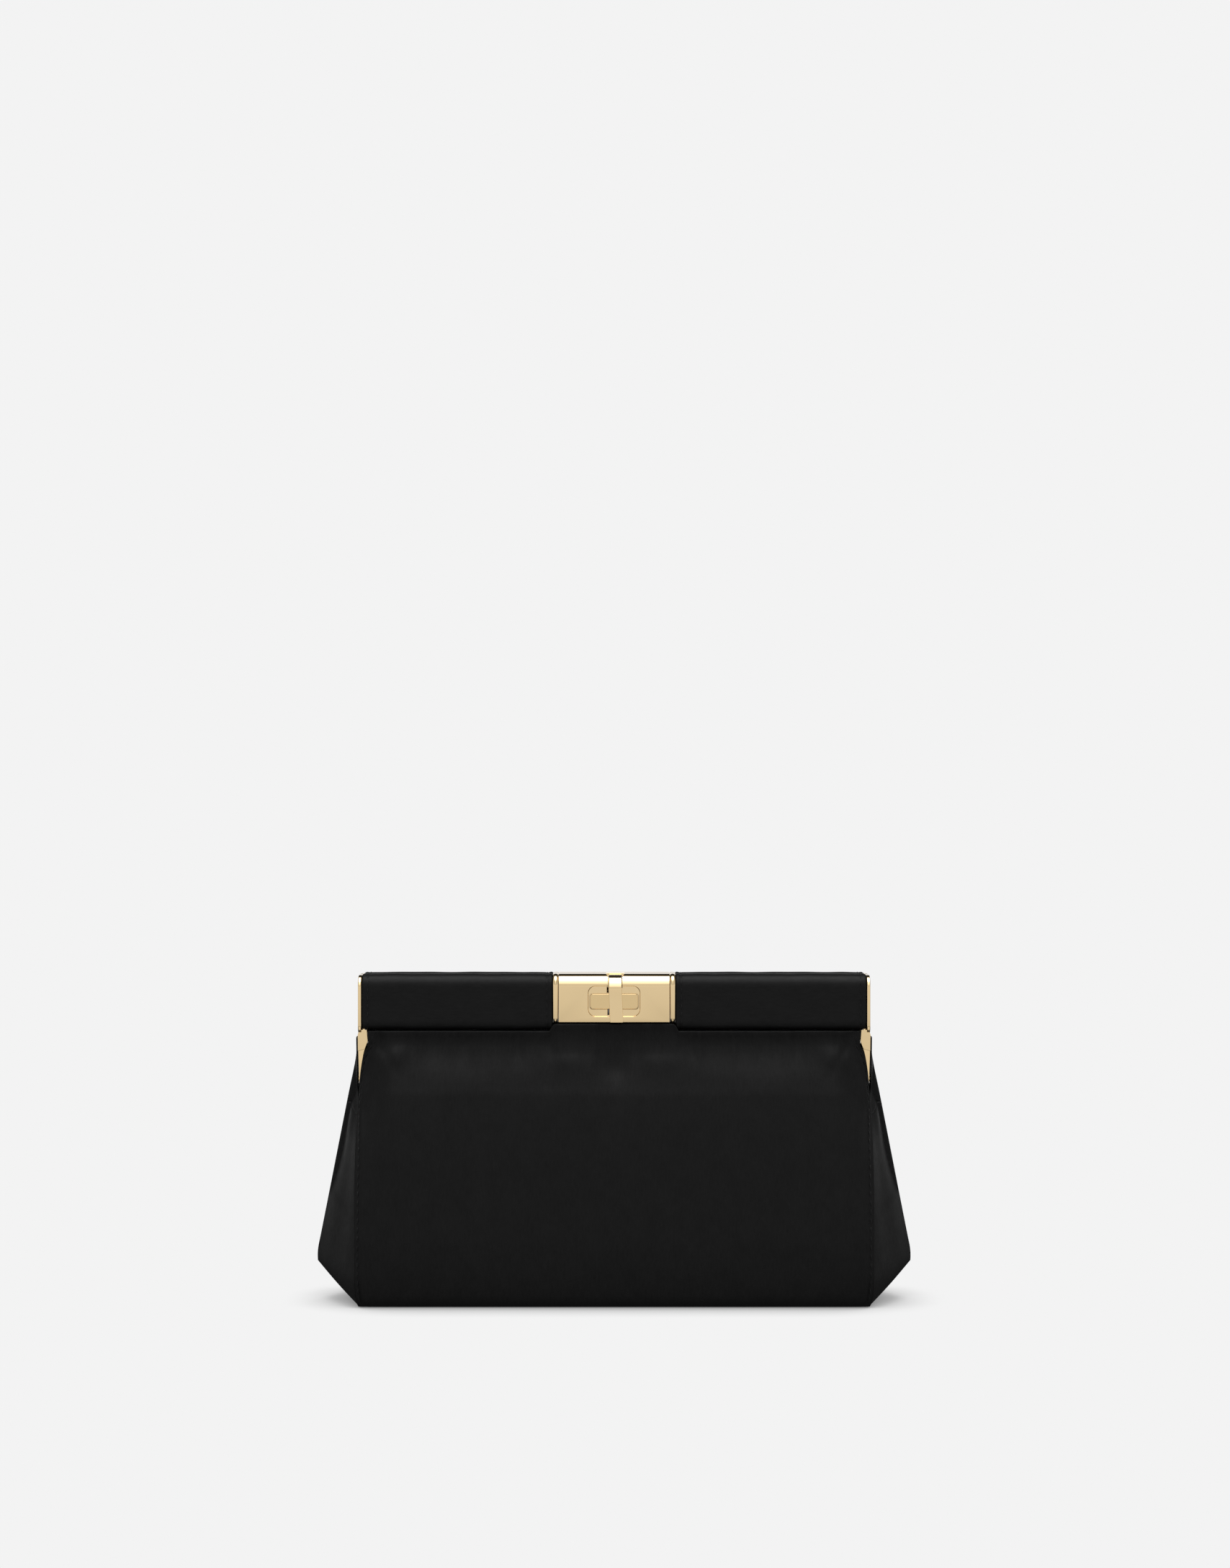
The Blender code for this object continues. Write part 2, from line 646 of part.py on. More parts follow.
for leaf, side in LEAVES:
    for name, end in SIDES:
        tag = leaf + "_" + name
        low, high = sorted((end * ROLL_INNER_X, end * ROLL_OUTER_X))
        sleeve = add("roll_sleeve_" + tag, tube(roll_outline(side, 0.0, PARTING), low, high),
                     SATIN)
        thicken(sleeve, SLEEVE)
        notch_low, notch_high = sorted((end * (ARM_INNER_X - GAP), end * (ROLL_OUTER_X + GAP)))
        y_low, y_high = y_span(side, -GAP, ARM_DEPTH + GAP)
        arm_notch = add("arm_notch_" + tag,
                        prism(box_outline(y_low, y_high, ROLL_LOW - SLEEVE, ROLL_LOW + 2 * SLEEVE),
                              notch_low, notch_high), None, cutters)
        cut(sleeve, arm_notch)
        hang(smooth(sleeve), LEAF_AXIS[leaf])

        low, high = sorted((end * (ROLL_INNER_X + GAP), end * (ARM_INNER_X - GAP)))
        core_outline = roll_outline(side, SLEEVE + GAP, CORE_BACK)
        core = add("roll_core_" + tag, prism(core_outline, low, high), FOAM)
        hang(smooth(core), LEAF_AXIS[leaf])

        low, high = sorted((end * CAP_INNER_X, end * CAP_OUTER_X))
        cap_outline = rounded([(side * PARTING, CAP_LOW, CAP_BACK_RADIUS),
                               (side * ROLL_DEPTH, CAP_LOW, CAP_FOOT_RADIUS),
                               (side * ROLL_DEPTH, CAP_HIGH, ROLL_TOP_RADIUS),
                               (side * PARTING, CAP_HIGH, CAP_BACK_RADIUS)])
        cap = add("end_cap_" + tag, prism(cap_outline, low, high), GOLD)
        hang(smooth(bevel(cap, CAP_EDGE)), LEAF_AXIS[leaf])

# ---------------------------------------------------------------- clasp plates and collars
LIP_LOW = BAR_HIGH + GAP
CAVITY_HALF_X = 0.0198
CAVITY_FRONT = 0.0102
CAVITY_LOW = 0.1285
CAVITY_HIGH = 0.1430
CAVITY_CORNER = 0.0015


def plate_outline(side, face, low):
    """Section of a plate or collar in (y, z): a front wall with a lip over the frame bar."""
    return rounded([(side * PLATE_BACK, low, 0.0),
                    (side * face, low, PLATE_FOOT_RADIUS),
                    (side * face, PLATE_HIGH, PLATE_ROUND),
                    (side * PARTING, PLATE_HIGH, LIP_RADIUS),
                    (side * PARTING, LIP_LOW, 0.0),
                    (side * PLATE_BACK, LIP_LOW, 0.0)])


plates = {}
for leaf, side in LEAVES:
    plate = add("clasp_plate_" + leaf,
                prism(plate_outline(side, PLATE_FACE, PLATE_LOW), -PLATE_HALF_X, PLATE_HALF_X),
                GOLD)
    low, high = y_span(side, PLATE_BACK - CUT_PAST, CAVITY_FRONT)
    cavity = add("plate_cavity_" + leaf,
                 prism(box_outline(-CAVITY_HALF_X, CAVITY_HALF_X, CAVITY_LOW, CAVITY_HIGH,
                                   CAVITY_CORNER), low, high, "Y"), None, cutters)
    cut(plate, cavity)
    for name, end in SIDES:
        low, high = y_span(side, PLATE_BACK - CUT_PAST, PLATE_BACK + SCREW_DEPTH)
        hole = add("plate_screw_hole_" + leaf + "_" + name,
                   disc(SCREW_RADIUS + GAP, low, high, end * SCREW_X, SCREW_Z, "Y", 12),
                   None, cutters)
        cut(plate, hole)
        low, high = y_span(side, BAR_BACK + GAP, PLATE_BACK + SCREW_DEPTH - 2 * GAP)
        screw = add("plate_screw_" + leaf + "_" + name,
                    disc(SCREW_RADIUS, low, high, end * SCREW_X, SCREW_Z, "Y", 12), STEEL)
        hang(smooth(screw), LEAF_AXIS[leaf])

        low, high = sorted((end * COLLAR_INNER_X, end * (COLLAR_INNER_X + COLLAR_WIDTH)))
        collar_outline = plate_outline(side, PLATE_FACE + COLLAR_PROUD,
                                       PLATE_LOW - COLLAR_DROP)
        collar = add("collar_" + leaf + "_" + name, prism(collar_outline, low, high), GOLD)
        hang(smooth(bevel(collar, COLLAR_EDGE)), LEAF_AXIS[leaf])
    plates[leaf] = plate
    hang(smooth(plate), LEAF_AXIS[leaf])

# Recess, strap channel and heel pocket of the front plate.
RECESS_HALF_X = 0.0117
RECESS_LOW = 0.1293
RECESS_HIGH = 0.1430
RECESS_FLOOR = 0.0116
RECESS_CORNER = 0.0032
CHANNEL_FLOOR = 0.1426
CHANNEL_HALF_X = 0.0034
CHANNEL_MOUTH_HALF_X = 0.0045
CHANNEL_MOUTH_DEEP = 0.0017
POCKET_FLOOR = 0.1400
POCKET_FRONT = 0.0080

recess = add("recess", prism(box_outline(-RECESS_HALF_X, RECESS_HALF_X, RECESS_LOW, RECESS_HIGH,
                                         RECESS_CORNER), -PLATE_FACE - CUT_PAST, -RECESS_FLOOR,
                             "Y"), None, cutters)
mouth_floor = PLATE_HIGH - CHANNEL_MOUTH_DEEP
above = PLATE_HIGH + CUT_PAST
right_wall = [(CHANNEL_HALF_X, CHANNEL_FLOOR), (CHANNEL_HALF_X, mouth_floor),
              (CHANNEL_MOUTH_HALF_X, PLATE_HIGH), (CHANNEL_MOUTH_HALF_X, above)]
left_wall = [(-x, z) for x, z in reversed(right_wall)]
channel = add("channel", prism([(CLASP_X + x, z) for x, z in right_wall + left_wall],
                               -PLATE_FACE - CUT_PAST, CUT_PAST, "Y"), None, cutters)
heel_pocket = add("heel_pocket", prism(box_outline(CLASP_X - CHANNEL_HALF_X,
                                                   CLASP_X + CHANNEL_HALF_X,
                                                   POCKET_FLOOR, CHANNEL_FLOOR + CUT_PAST / 2),
                                       -POCKET_FRONT, CUT_PAST / 2, "Y"), None, cutters)
PIN_RADIUS = 0.0006
PIN_HALF_X = 0.0070
pin_hole = add("pin_hole", disc(PIN_RADIUS + GAP, CLASP_X - PIN_HALF_X - GAP,
                                CLASP_X + PIN_HALF_X + GAP, LEVER_PIN_Y, LEVER_PIN_Z, "X", 12),
               None, cutters)
for cutter in (recess, channel, heel_pocket, pin_hole):
    cut(plates["front"], cutter)

# ---------------------------------------------------------------- catch pad, magnet, pin, tongue
PAD_HALF_X = 0.0108
PAD_LOW = 0.1333
PAD_HIGH = 0.1400
PAD_CORNER = 0.0011
PAD_FACE = 0.0140
pad = add("catch_pad", prism(box_outline(-PAD_HALF_X, PAD_HALF_X, PAD_LOW, PAD_HIGH, PAD_CORNER),
                             -PAD_FACE, -RECESS_FLOOR - GAP, "Y"), GOLD)
hang(smooth(pad), front_axis)

CATCH_MAGNET_BACK = 0.0070
CATCH_MAGNET_Z = 0.1366
catch_magnet = add("catch_magnet", disc(MAGNET_RADIUS, -CAVITY_FRONT + GAP, -CATCH_MAGNET_BACK,
                                        0.0, CATCH_MAGNET_Z, "Y"), STEEL)
hang(smooth(catch_magnet), front_axis)

pin = add("lever_pin", disc(PIN_RADIUS, CLASP_X - PIN_HALF_X, CLASP_X + PIN_HALF_X,
                            LEVER_PIN_Y, LEVER_PIN_Z, "X", 12), STEEL)
hang(smooth(pin), front_axis)

TONGUE_LOW = 0.1407
TONGUE_HIGH = 0.1421
TONGUE_HALF_X = 0.0025
TONGUE_REACH = 0.0030        # on both sides of the middle plane
TONGUE_NOSE = 0.0006
tongue = add("catch_tongue",
             prism([(TONGUE_REACH, TONGUE_LOW), (TONGUE_REACH, TONGUE_HIGH),
                    (TONGUE_NOSE - TONGUE_REACH, TONGUE_HIGH),
                    (-TONGUE_REACH, (TONGUE_LOW + TONGUE_HIGH) / 2),
                    (TONGUE_NOSE - TONGUE_REACH, TONGUE_LOW)],
                   CLASP_X - TONGUE_HALF_X, CLASP_X + TONGUE_HALF_X), STEEL)
hang(tongue, back_axis)

# ---------------------------------------------------------------- clasp strap
EYE_RADIUS = 0.0016
HEEL_REACH = 0.0036
HEEL_HALF_THICK = 0.0006
BEND_RADIUS = 0.0064
STRAP_FACE = 0.0160


def lever_outline():
    """The strap's section in (y, z): heel, eye, top leg, bend and long front leg."""
    bend_y = -STRAP_FACE + BEND_RADIUS
    bend_z = LEVER_PIN_Z + EYE_RADIUS - BEND_RADIUS
    outline = []
    for step in range(9):
        angle = math.radians(90 + 90 * step / 8)
        outline.append((bend_y + BEND_RADIUS * math.cos(angle),
                        bend_z + BEND_RADIUS * math.sin(angle)))
    outline.append((-STRAP_FACE, LEVER_LOW))
    outline.append((-STRAP_FACE + LEVER_THICK, LEVER_LOW))
    inner = BEND_RADIUS - LEVER_THICK
    for step in range(9):
        angle = math.radians(180 - 90 * step / 8)
        outline.append((bend_y + inner * math.cos(angle), bend_z + inner * math.sin(angle)))
    for step in range(5):
        angle = math.radians(170 + 100 * step / 4)
        outline.append((LEVER_PIN_Y + EYE_RADIUS * math.cos(angle),
                        LEVER_PIN_Z + EYE_RADIUS * math.sin(angle)))
    outline.append((LEVER_PIN_Y + HEEL_REACH, LEVER_PIN_Z - HEEL_HALF_THICK))
    outline.append((LEVER_PIN_Y + HEEL_REACH, LEVER_PIN_Z + HEEL_HALF_THICK))
    for step in range(4):
        angle = math.radians(45 + 45 * step / 3)
        outline.append((LEVER_PIN_Y + EYE_RADIUS * math.cos(angle),
                        LEVER_PIN_Z + EYE_RADIUS * math.sin(angle)))
    return outline


lever_mesh = prism(lever_outline(), CLASP_X - LEVER_HALF_X, CLASP_X + LEVER_HALF_X)
lean_from = LEVER_PIN_Z - BEND_RADIUS
for vertex in lever_mesh.vertices:
    drop = max(lean_from - vertex.co.z, 0)
    vertex.co.x += drop * math.tan(LEVER_LEAN)
lever = add("clasp_lever", lever_mesh, GOLD)
eye_hole = add("eye_hole", disc(PIN_RADIUS + GAP, -0.01, 0.01, LEVER_PIN_Y, LEVER_PIN_Z, "X",
                                12), None, cutters)
bevel(lever, 0.0003, 1)
cut(lever, eye_hole)
hang(smooth(lever), lever_axis)

for cutter in cutters.objects:
    cutter.hide_render = True
    cutter.display_type = "WIRE"
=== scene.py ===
"""Looks of a framed evening clutch: satin bag on a two-leaf frame with a gold clasp.

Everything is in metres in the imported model's frame: +Z up, front at -Y, floor at z = 0.
"""

import json
import math

import bmesh
import bpy
import numpy as np
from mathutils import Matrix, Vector

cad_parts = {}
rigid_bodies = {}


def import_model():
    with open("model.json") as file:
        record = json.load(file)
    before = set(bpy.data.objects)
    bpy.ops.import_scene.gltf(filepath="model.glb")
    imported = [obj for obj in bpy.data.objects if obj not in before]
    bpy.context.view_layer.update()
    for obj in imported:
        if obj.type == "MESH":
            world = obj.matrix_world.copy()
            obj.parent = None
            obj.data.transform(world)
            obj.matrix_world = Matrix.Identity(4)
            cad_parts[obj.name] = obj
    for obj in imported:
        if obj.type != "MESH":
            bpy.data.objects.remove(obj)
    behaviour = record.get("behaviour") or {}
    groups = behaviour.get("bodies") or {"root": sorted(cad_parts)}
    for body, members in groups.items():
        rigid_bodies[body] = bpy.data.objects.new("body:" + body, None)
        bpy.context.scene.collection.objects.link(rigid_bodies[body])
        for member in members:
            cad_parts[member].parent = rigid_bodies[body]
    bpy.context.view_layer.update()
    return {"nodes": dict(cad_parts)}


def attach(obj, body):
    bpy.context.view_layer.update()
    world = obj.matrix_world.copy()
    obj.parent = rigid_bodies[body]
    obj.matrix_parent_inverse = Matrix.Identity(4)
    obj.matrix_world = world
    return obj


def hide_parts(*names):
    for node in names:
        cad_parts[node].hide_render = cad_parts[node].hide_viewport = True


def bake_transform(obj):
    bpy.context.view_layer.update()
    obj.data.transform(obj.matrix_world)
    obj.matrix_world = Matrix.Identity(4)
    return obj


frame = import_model()
for leftover in list(bpy.data.objects):
    if leftover.name in ("Cube", "Light", "Camera"):
        bpy.data.objects.remove(leftover, do_unlink=True)

MM = 0.001
LEAVES = (("front", -1), ("back", 1))
SIDES = (("left", -1), ("right", 1))
COLLECTION = bpy.context.scene.collection
NODES = frame["nodes"]


# ======== materials
def shader_of(name):
    """A new material, its tree and its Principled shader."""
    material = bpy.data.materials.new(name)
    material.use_nodes = True
    tree = material.node_tree
    return material, tree, tree.nodes["Principled BSDF"]


def node(tree, kind, **values):
    """A node with its properties and its numbered or named inputs set."""
    made = tree.nodes.new(kind)
    for key, value in values.items():
        if key.startswith("in_"):
            name = key[3:].replace("_", " ")
            socket = made.inputs[int(name)] if name.isdigit() else made.inputs[name]
            socket.default_value = value
        else:
            setattr(made, key, value)
    return made


def ramp(tree, source, stops):
    """A colour ramp of grey or coloured stops, each (position, colour)."""
    made = tree.nodes.new("ShaderNodeValToRGB")
    elements = made.color_ramp.elements
    while len(elements) < len(stops):
        elements.new(0.5)
    for element, (position, colour) in zip(elements, stops):
        element.position = position
        element.color = (*colour, 1) if isinstance(colour, tuple) else (colour,) * 3 + (1,)
    tree.links.new(source, made.inputs[0])
    return made.outputs[0]


def noise(tree, source, scale, stretch=(1, 1, 1), detail=3.0, rough=0.5):
    """Noise on coordinates in metres; scale is features per metre."""
    mapping = node(tree, "ShaderNodeMapping", in_Scale=stretch)
    tree.links.new(source, mapping.inputs[0])
    made = node(tree, "ShaderNodeTexNoise", in_Scale=scale, in_Detail=detail,
                in_Roughness=rough)
    tree.links.new(mapping.outputs[0], made.inputs["Vector"])
    return made.outputs[0]


def math_node(tree, operation, first, second):
    """A maths node of two sockets or numbers."""
    made = tree.nodes.new("ShaderNodeMath")
    made.operation = operation
    for index, value in enumerate((first, second)):
        if isinstance(value, (int, float)):
            made.inputs[index].default_value = value
        else:
            tree.links.new(value, made.inputs[index])
    return made.outputs[0]


def weighted(tree, first, first_share, second, second_share):
    """The sum of two sockets, each multiplied by its share."""
    return math_node(tree, "ADD", math_node(tree, "MULTIPLY", first, first_share),
                     math_node(tree, "MULTIPLY", second, second_share))


def dress(tree, shader, colour, roughness, height, distance, strength=1.0):
    """Colour, roughness and bump, each driven by (source, low stop, high stop) or a number."""
    for name, value in (("Base Color", colour), ("Roughness", roughness)):
        if isinstance(value, tuple):
            tree.links.new(ramp(tree, value[0], value[1:]), shader.inputs[name])
        else:
            shader.inputs[name].default_value = value
    made = node(tree, "ShaderNodeBump", in_Strength=strength, in_Distance=distance)
    tree.links.new(height, made.inputs["Height"])
    tree.links.new(made.outputs[0], shader.inputs["Normal"])


SLUBS_PER_METRE, CLOUDS_PER_METRE = 1100, 140
WAVE_SCALE = 0.314           # a wave texture's scale for one band per unit
WEFT_PITCH = 1.6             # weft threads lie this many times wider apart than the warp's
WEAVE_DEPTH = 0.00006


def satin(name, dark, light, roughness, specular, pitch=0.00028):
    """Duchesse satin: fine warp floats with slubs, on a UV map in metres."""
    material, tree, shader = shader_of(name)
    weave_map = node(tree, "ShaderNodeUVMap", uv_map="cloth").outputs[0]
    slubs = noise(tree, weave_map, SLUBS_PER_METRE, (1, 0.22, 1), 5.0, 0.65)
    cloud = noise(tree, weave_map, CLOUDS_PER_METRE, (1, 0.6, 1), 4.0, 0.6)
    warp = node(tree, "ShaderNodeTexWave", in_Scale=WAVE_SCALE / pitch, in_Distortion=0.6,
                in_Detail=1.0, bands_direction="X")
    weft = node(tree, "ShaderNodeTexWave", in_Scale=WAVE_SCALE / (pitch * WEFT_PITCH),
                in_Distortion=0.4, bands_direction="Y")
    for wave in (warp, weft):
        tree.links.new(weave_map, wave.inputs["Vector"])
    tone = weighted(tree, slubs, 0.6, cloud, 0.4)
    low, high = roughness
    threads = weighted(tree, warp.outputs[1], 0.7, weft.outputs[1], 0.3)
    dress(tree, shader, (tone, (0.36, dark), (0.62, light)), (tone, (0.35, high), (0.65, low)),
          weighted(tree, threads, 0.35, slubs, 1.0), WEAVE_DEPTH, 0.55)
    shader.inputs["Specular IOR Level"].default_value = specular
    shader.inputs["Sheen Weight"].default_value = 0.006
    shader.inputs["Sheen Roughness"].default_value = 0.35
    return material


def metal(name, base, worn, roughness, scratch=(1, 1, 1), depth=0.00001):
    """Plated metal: a slight colour drift, faint smudges and hairline polish marks."""
    material, tree, shader = shader_of(name)
    place = node(tree, "ShaderNodeTexCoord").outputs["Object"]
    drift = noise(tree, place, 45, detail=2.0)
    smudge = noise(tree, place, 160, detail=4.0, rough=0.6)
    hair = noise(tree, place, 2600, scratch, 2.0)
    low, high = roughness
    dress(tree, shader, (drift, (0.3, base), (0.7, worn)),
          (smudge, (0.35, low), (0.75, high)), hair, depth, 0.25)
    shader.inputs["Metallic"].default_value = 1.0
    return material


def fibre(name, dark, light, scale, roughness, depth):
    """Board with mottled fibres."""
    material, tree, shader = shader_of(name)
    place = node(tree, "ShaderNodeTexCoord").outputs["Object"]
    mottled = noise(tree, place, scale, detail=6.0, rough=0.7)
    dress(tree, shader, (mottled, (0.3, dark), (0.7, light)), roughness, mottled, depth)
    return material


SATIN = satin("black_satin", 0.0025, 0.0048, (0.42, 0.50), 0.114)
ROLL_SATIN = satin("black_satin_taut", 0.0028, 0.0054, (0.42, 0.50), 0.128)
THREAD = satin("black_thread", 0.0030, 0.0060, (0.45, 0.60), 0.20, 0.00015)
LINING = satin("lining_cloth", 0.010, 0.018, (0.50, 0.62), 0.25, 0.00035)
GOLD = metal("pale_gold", (0.80, 0.615, 0.355), (0.775, 0.59, 0.335), (0.05, 0.09))
GOLD_PAD = metal("pale_gold_pad", (0.745, 0.555, 0.295), (0.72, 0.535, 0.28), (0.06, 0.10))
STEEL = metal("frame_steel", (0.50, 0.49, 0.47), (0.54, 0.53, 0.51), (0.28, 0.32),
              (0.03, 1, 1), 0.00002)
BOARD = fibre("grey_board", (0.20, 0.17, 0.13), (0.34, 0.29, 0.22), 900, 0.88, 0.00008)
MAGNET = metal("magnet_nickel", (0.54, 0.52, 0.50), (0.58, 0.56, 0.53), (0.22, 0.26))


# ======== mesh helpers
def add(name, mesh, material):
    """A named object with one material, smooth shaded."""
    piece = bpy.data.objects.new(name, mesh)
    COLLECTION.objects.link(piece)
    mesh.materials.append(material)
    mesh.shade_smooth()
    return piece


def hermite(points):
    """A smooth curve through (position, value) points, for numbers or arrays."""
    place = np.array([p for p, _ in points], float)
    value = np.array([v for _, v in points], float)
    slope = np.empty(len(place))
    slope[1:-1] = (value[2:] - value[:-2]) / (place[2:] - place[:-2])
    slope[0] = (value[1] - value[0]) / (place[1] - place[0])
    slope[-1] = (value[-1] - value[-2]) / (place[-1] - place[-2])

    def curve(at):
        at = np.clip(at, place[0], place[-1])
        index = np.clip(np.searchsorted(place, at, side="right") - 1, 0, len(place) - 2)
        span = place[index + 1] - place[index]
        t = (at - place[index]) / span
        return ((2 * t ** 3 - 3 * t ** 2 + 1) * value[index]
                + (t ** 3 - 2 * t ** 2 + t) * span * slope[index]
                + (3 * t ** 2 - 2 * t ** 3) * value[index + 1]
                + (t ** 3 - t ** 2) * span * slope[index + 1])

    return curve


def smoothstep(value, low, high):
    """0 below low, 1 above high, and a smooth rise between."""
    t = np.clip((value - low) / (high - low), 0, 1)
    return t * t * (3 - 2 * t)


def bell(value, middle, width):
    """A soft hump of height 1."""
    return np.exp(-((value - middle) / width) ** 2)


def unit(vectors):
    """Vectors scaled to a length of 1."""
    return vectors / np.maximum(np.linalg.norm(vectors, axis=-1, keepdims=True), 1e-12)


def grid_normals(grid):
    """Unit normals of a grid of points (rows, columns, 3)."""
    return unit(np.cross(np.gradient(grid, axis=1), np.gradient(grid, axis=0)))


def facing(normals, side):
    """Normals turned so that the middle of the grid faces a side along Y."""
    middle = normals[normals.shape[0] // 2, normals.shape[1] // 2, 1]
    return normals if middle * side > 0 else -normals


def grid_arcs(grid):
    """Distances along the rows and up the columns, for a UV map in metres."""
    u = np.array([distances(row) for row in grid])
    v = np.stack([distances(column) for column in grid.swapaxes(0, 1)], axis=1)
    return u - u.mean(axis=1, keepdims=True), v


def grid_mesh(name, grid, closed=False, outward=None):
    """A mesh of quads over a grid of points, with a UV map "cloth" in metres.

    closed joins the last column to the first. outward is a point on the inner side: the
    normals are turned away from it.
    """
    rows, columns = grid.shape[:2]
    wrapped = np.concatenate([grid, grid[:, :1]], axis=1) if closed else grid
    u, v = grid_arcs(wrapped)
    faces, corners = [], []
    for j in range(rows - 1):
        for i in range(wrapped.shape[1] - 1):
            quad = [(j, i), (j, i + 1), (j + 1, i + 1), (j + 1, i)]
            faces.append([row * columns + column % columns for row, column in quad])
            corners.append(quad)
    if outward is not None:
        middle = grid.reshape(-1, 3).mean(axis=0)
        normal = grid_normals(grid).reshape(-1, 3).mean(axis=0)
        if np.dot(normal, middle - outward) < 0:
            faces = [face[::-1] for face in faces]
            corners = [quad[::-1] for quad in corners]
    mesh = bpy.data.meshes.new(name)
    mesh.from_pydata(grid.reshape(-1, 3), [], faces)
    layer = mesh.uv_layers.new(name="cloth")
    flat = [(u[row, column], v[row, column]) for quad in corners for row, column in quad]
    layer.data.foreach_set("uv", np.array(flat, np.float32).ravel())
    mesh.update()
    return mesh


def cloth(name, grid, material, thickness, offset=-1.0, **shape):
    """A piece of cloth over a grid of points, thickened to one side of it."""
    piece = add(name, grid_mesh(name, grid, **shape), material)
    modifier = piece.modifiers.new("thickness", "SOLIDIFY")
    modifier.thickness = thickness
    modifier.offset = offset
    return piece


def distances(points):
    """Distance of each point along its line."""
    steps = np.linalg.norm(np.diff(points, axis=0), axis=1)
    return np.concatenate([[0], np.cumsum(steps)])


def sampled(at, place, points):
    """Points at distances along a line whose own points are at place."""
    return np.stack([np.interp(at, place, column) for column in points.T], axis=-1)


def rounded(corners, steps=12):
    """A closed outline whose corners, each (a, b, radius), are rounded with arcs."""
    outline = []
    for index, (a, b, radius) in enumerate(corners):
        corner = Vector((a, b))
        if radius == 0:
            outline.append((a, b))
            continue
        before = (Vector(corners[index - 1][:2]) - corner).normalized()
        after = (Vector(corners[(index + 1) % len(corners)][:2]) - corner).normalized()
        half_angle = before.angle(after) / 2
        centre = corner + (before + after).normalized() * radius / math.sin(half_angle)
        start = corner + before * radius / math.tan(half_angle) - centre
        end = corner + after * radius / math.tan(half_angle) - centre
        turn = start.angle_signed(end)
        for step in range(steps + 1):
            angle = -turn * step / steps
            outline.append((centre.x + start.x * math.cos(angle) - start.y * math.sin(angle),
                            centre.y + start.x * math.sin(angle) + start.y * math.cos(angle)))
    return outline


def even(outline, count):
    """The outline resampled to points at even distances."""
    points = np.array(list(outline) + [outline[0]], float)
    place = distances(points)
    return sampled(np.linspace(0, place[-1], count, endpoint=False), place, points)


def outline_normals(outline):
    """Unit normals of a closed outline, pointing out."""
    after = np.roll(outline, -1, axis=0)
    tangent = after - np.roll(outline, 1, axis=0)
    normal = unit(np.stack([tangent[:, 1], -tangent[:, 0]], axis=1))
    area = (outline[:, 0] * after[:, 1] - after[:, 0] * outline[:, 1]).sum()
    return normal if area > 0 else -normal


def place_outline(outline, at, axis):
    """Outline points at a distance along an axis: (y, z) for X, (x, z) for Y, (x, y) for Z."""
    a, b = np.asarray(outline, float).T
    c = np.full(len(a), float(at))
    return np.stack({"X": (c, a, b), "Y": (a, c, b), "Z": (a, b, c)}[axis], axis=1)


def oriented(mesh, ring=0, inward=False):
    """Turn a mesh's faces outwards or inwards, and close its ends if it is made of rings."""
    shape = bmesh.new()
    shape.from_mesh(mesh)
    if ring:
        shape.verts.ensure_lookup_table()
        shape.faces.new(shape.verts[:ring][::-1])
        shape.faces.new(shape.verts[-ring:])
    bmesh.ops.recalc_face_normals(shape, faces=shape.faces)
    if inward:
        bmesh.ops.reverse_faces(shape, faces=shape.faces)
    shape.to_mesh(mesh)
    shape.free()


def solid(name, sections, material):
    """A closed solid lofted through equal rings of points, with flat ends."""
    count = len(sections[0])
    faces = [(low + i, low + (i + 1) % count, low + (i + 1) % count + count, low + i + count)
             for low in range(0, (len(sections) - 1) * count, count) for i in range(count)]
    mesh = bpy.data.meshes.new(name)
    mesh.from_pydata(np.concatenate(sections), [], faces)
    oriented(mesh, count)
    return add(name, mesh, material)


def prism(name, outline, low, high, axis, material):
    """A solid of one outline from low to high along an axis."""
    return solid(name, [place_outline(outline, at, axis) for at in (low, high)], material)


def cut(piece, *cutters):
    """Exact booleans with solids that are then removed."""
    for cutter in cutters:
        modifier = piece.modifiers.new("cut", "BOOLEAN")
        modifier.operation = "DIFFERENCE"
        modifier.solver = "EXACT"
        modifier.object = cutter
        bpy.context.view_layer.objects.active = piece
        bpy.ops.object.modifier_apply(modifier=modifier.name)
        bpy.data.objects.remove(cutter, do_unlink=True)


def bevel(piece, width, segments, angle):
    """Rounded edges where faces meet at more than an angle in degrees."""
    modifier = piece.modifiers.new("edges", "BEVEL")
    modifier.width = width
    modifier.segments = segments
    modifier.limit_method = "ANGLE"
    modifier.angle_limit = math.radians(angle)
    return modifier


def crisp(piece, width, segments, angle):
    """Small rounded edges and clean shading on hardware."""
    if width:
        bevel(piece, width, segments, angle).harden_normals = True
    piece.data.shade_smooth()
    piece.data.set_sharp_from_angle(angle=math.radians(angle))


def flat_map(mesh, first, second):
    """A UV map "cloth" in metres, from two axes of the mesh."""
    spots = np.array([mesh.vertices[loop.vertex_index].co for loop in mesh.loops])
    layer = mesh.uv_layers.new(name="cloth")
    layer.data.foreach_set("uv", spots[:, [first, second]].astype(np.float32).ravel())


THREAD_RINGS, THREAD_SIDES = 6, 6
THREAD_RISE, THREAD_SINK = 0.4, 0.25     # of a stitch's width
THREAD_TIP = 0.35                        # radius of a stitch's end, of its middle's


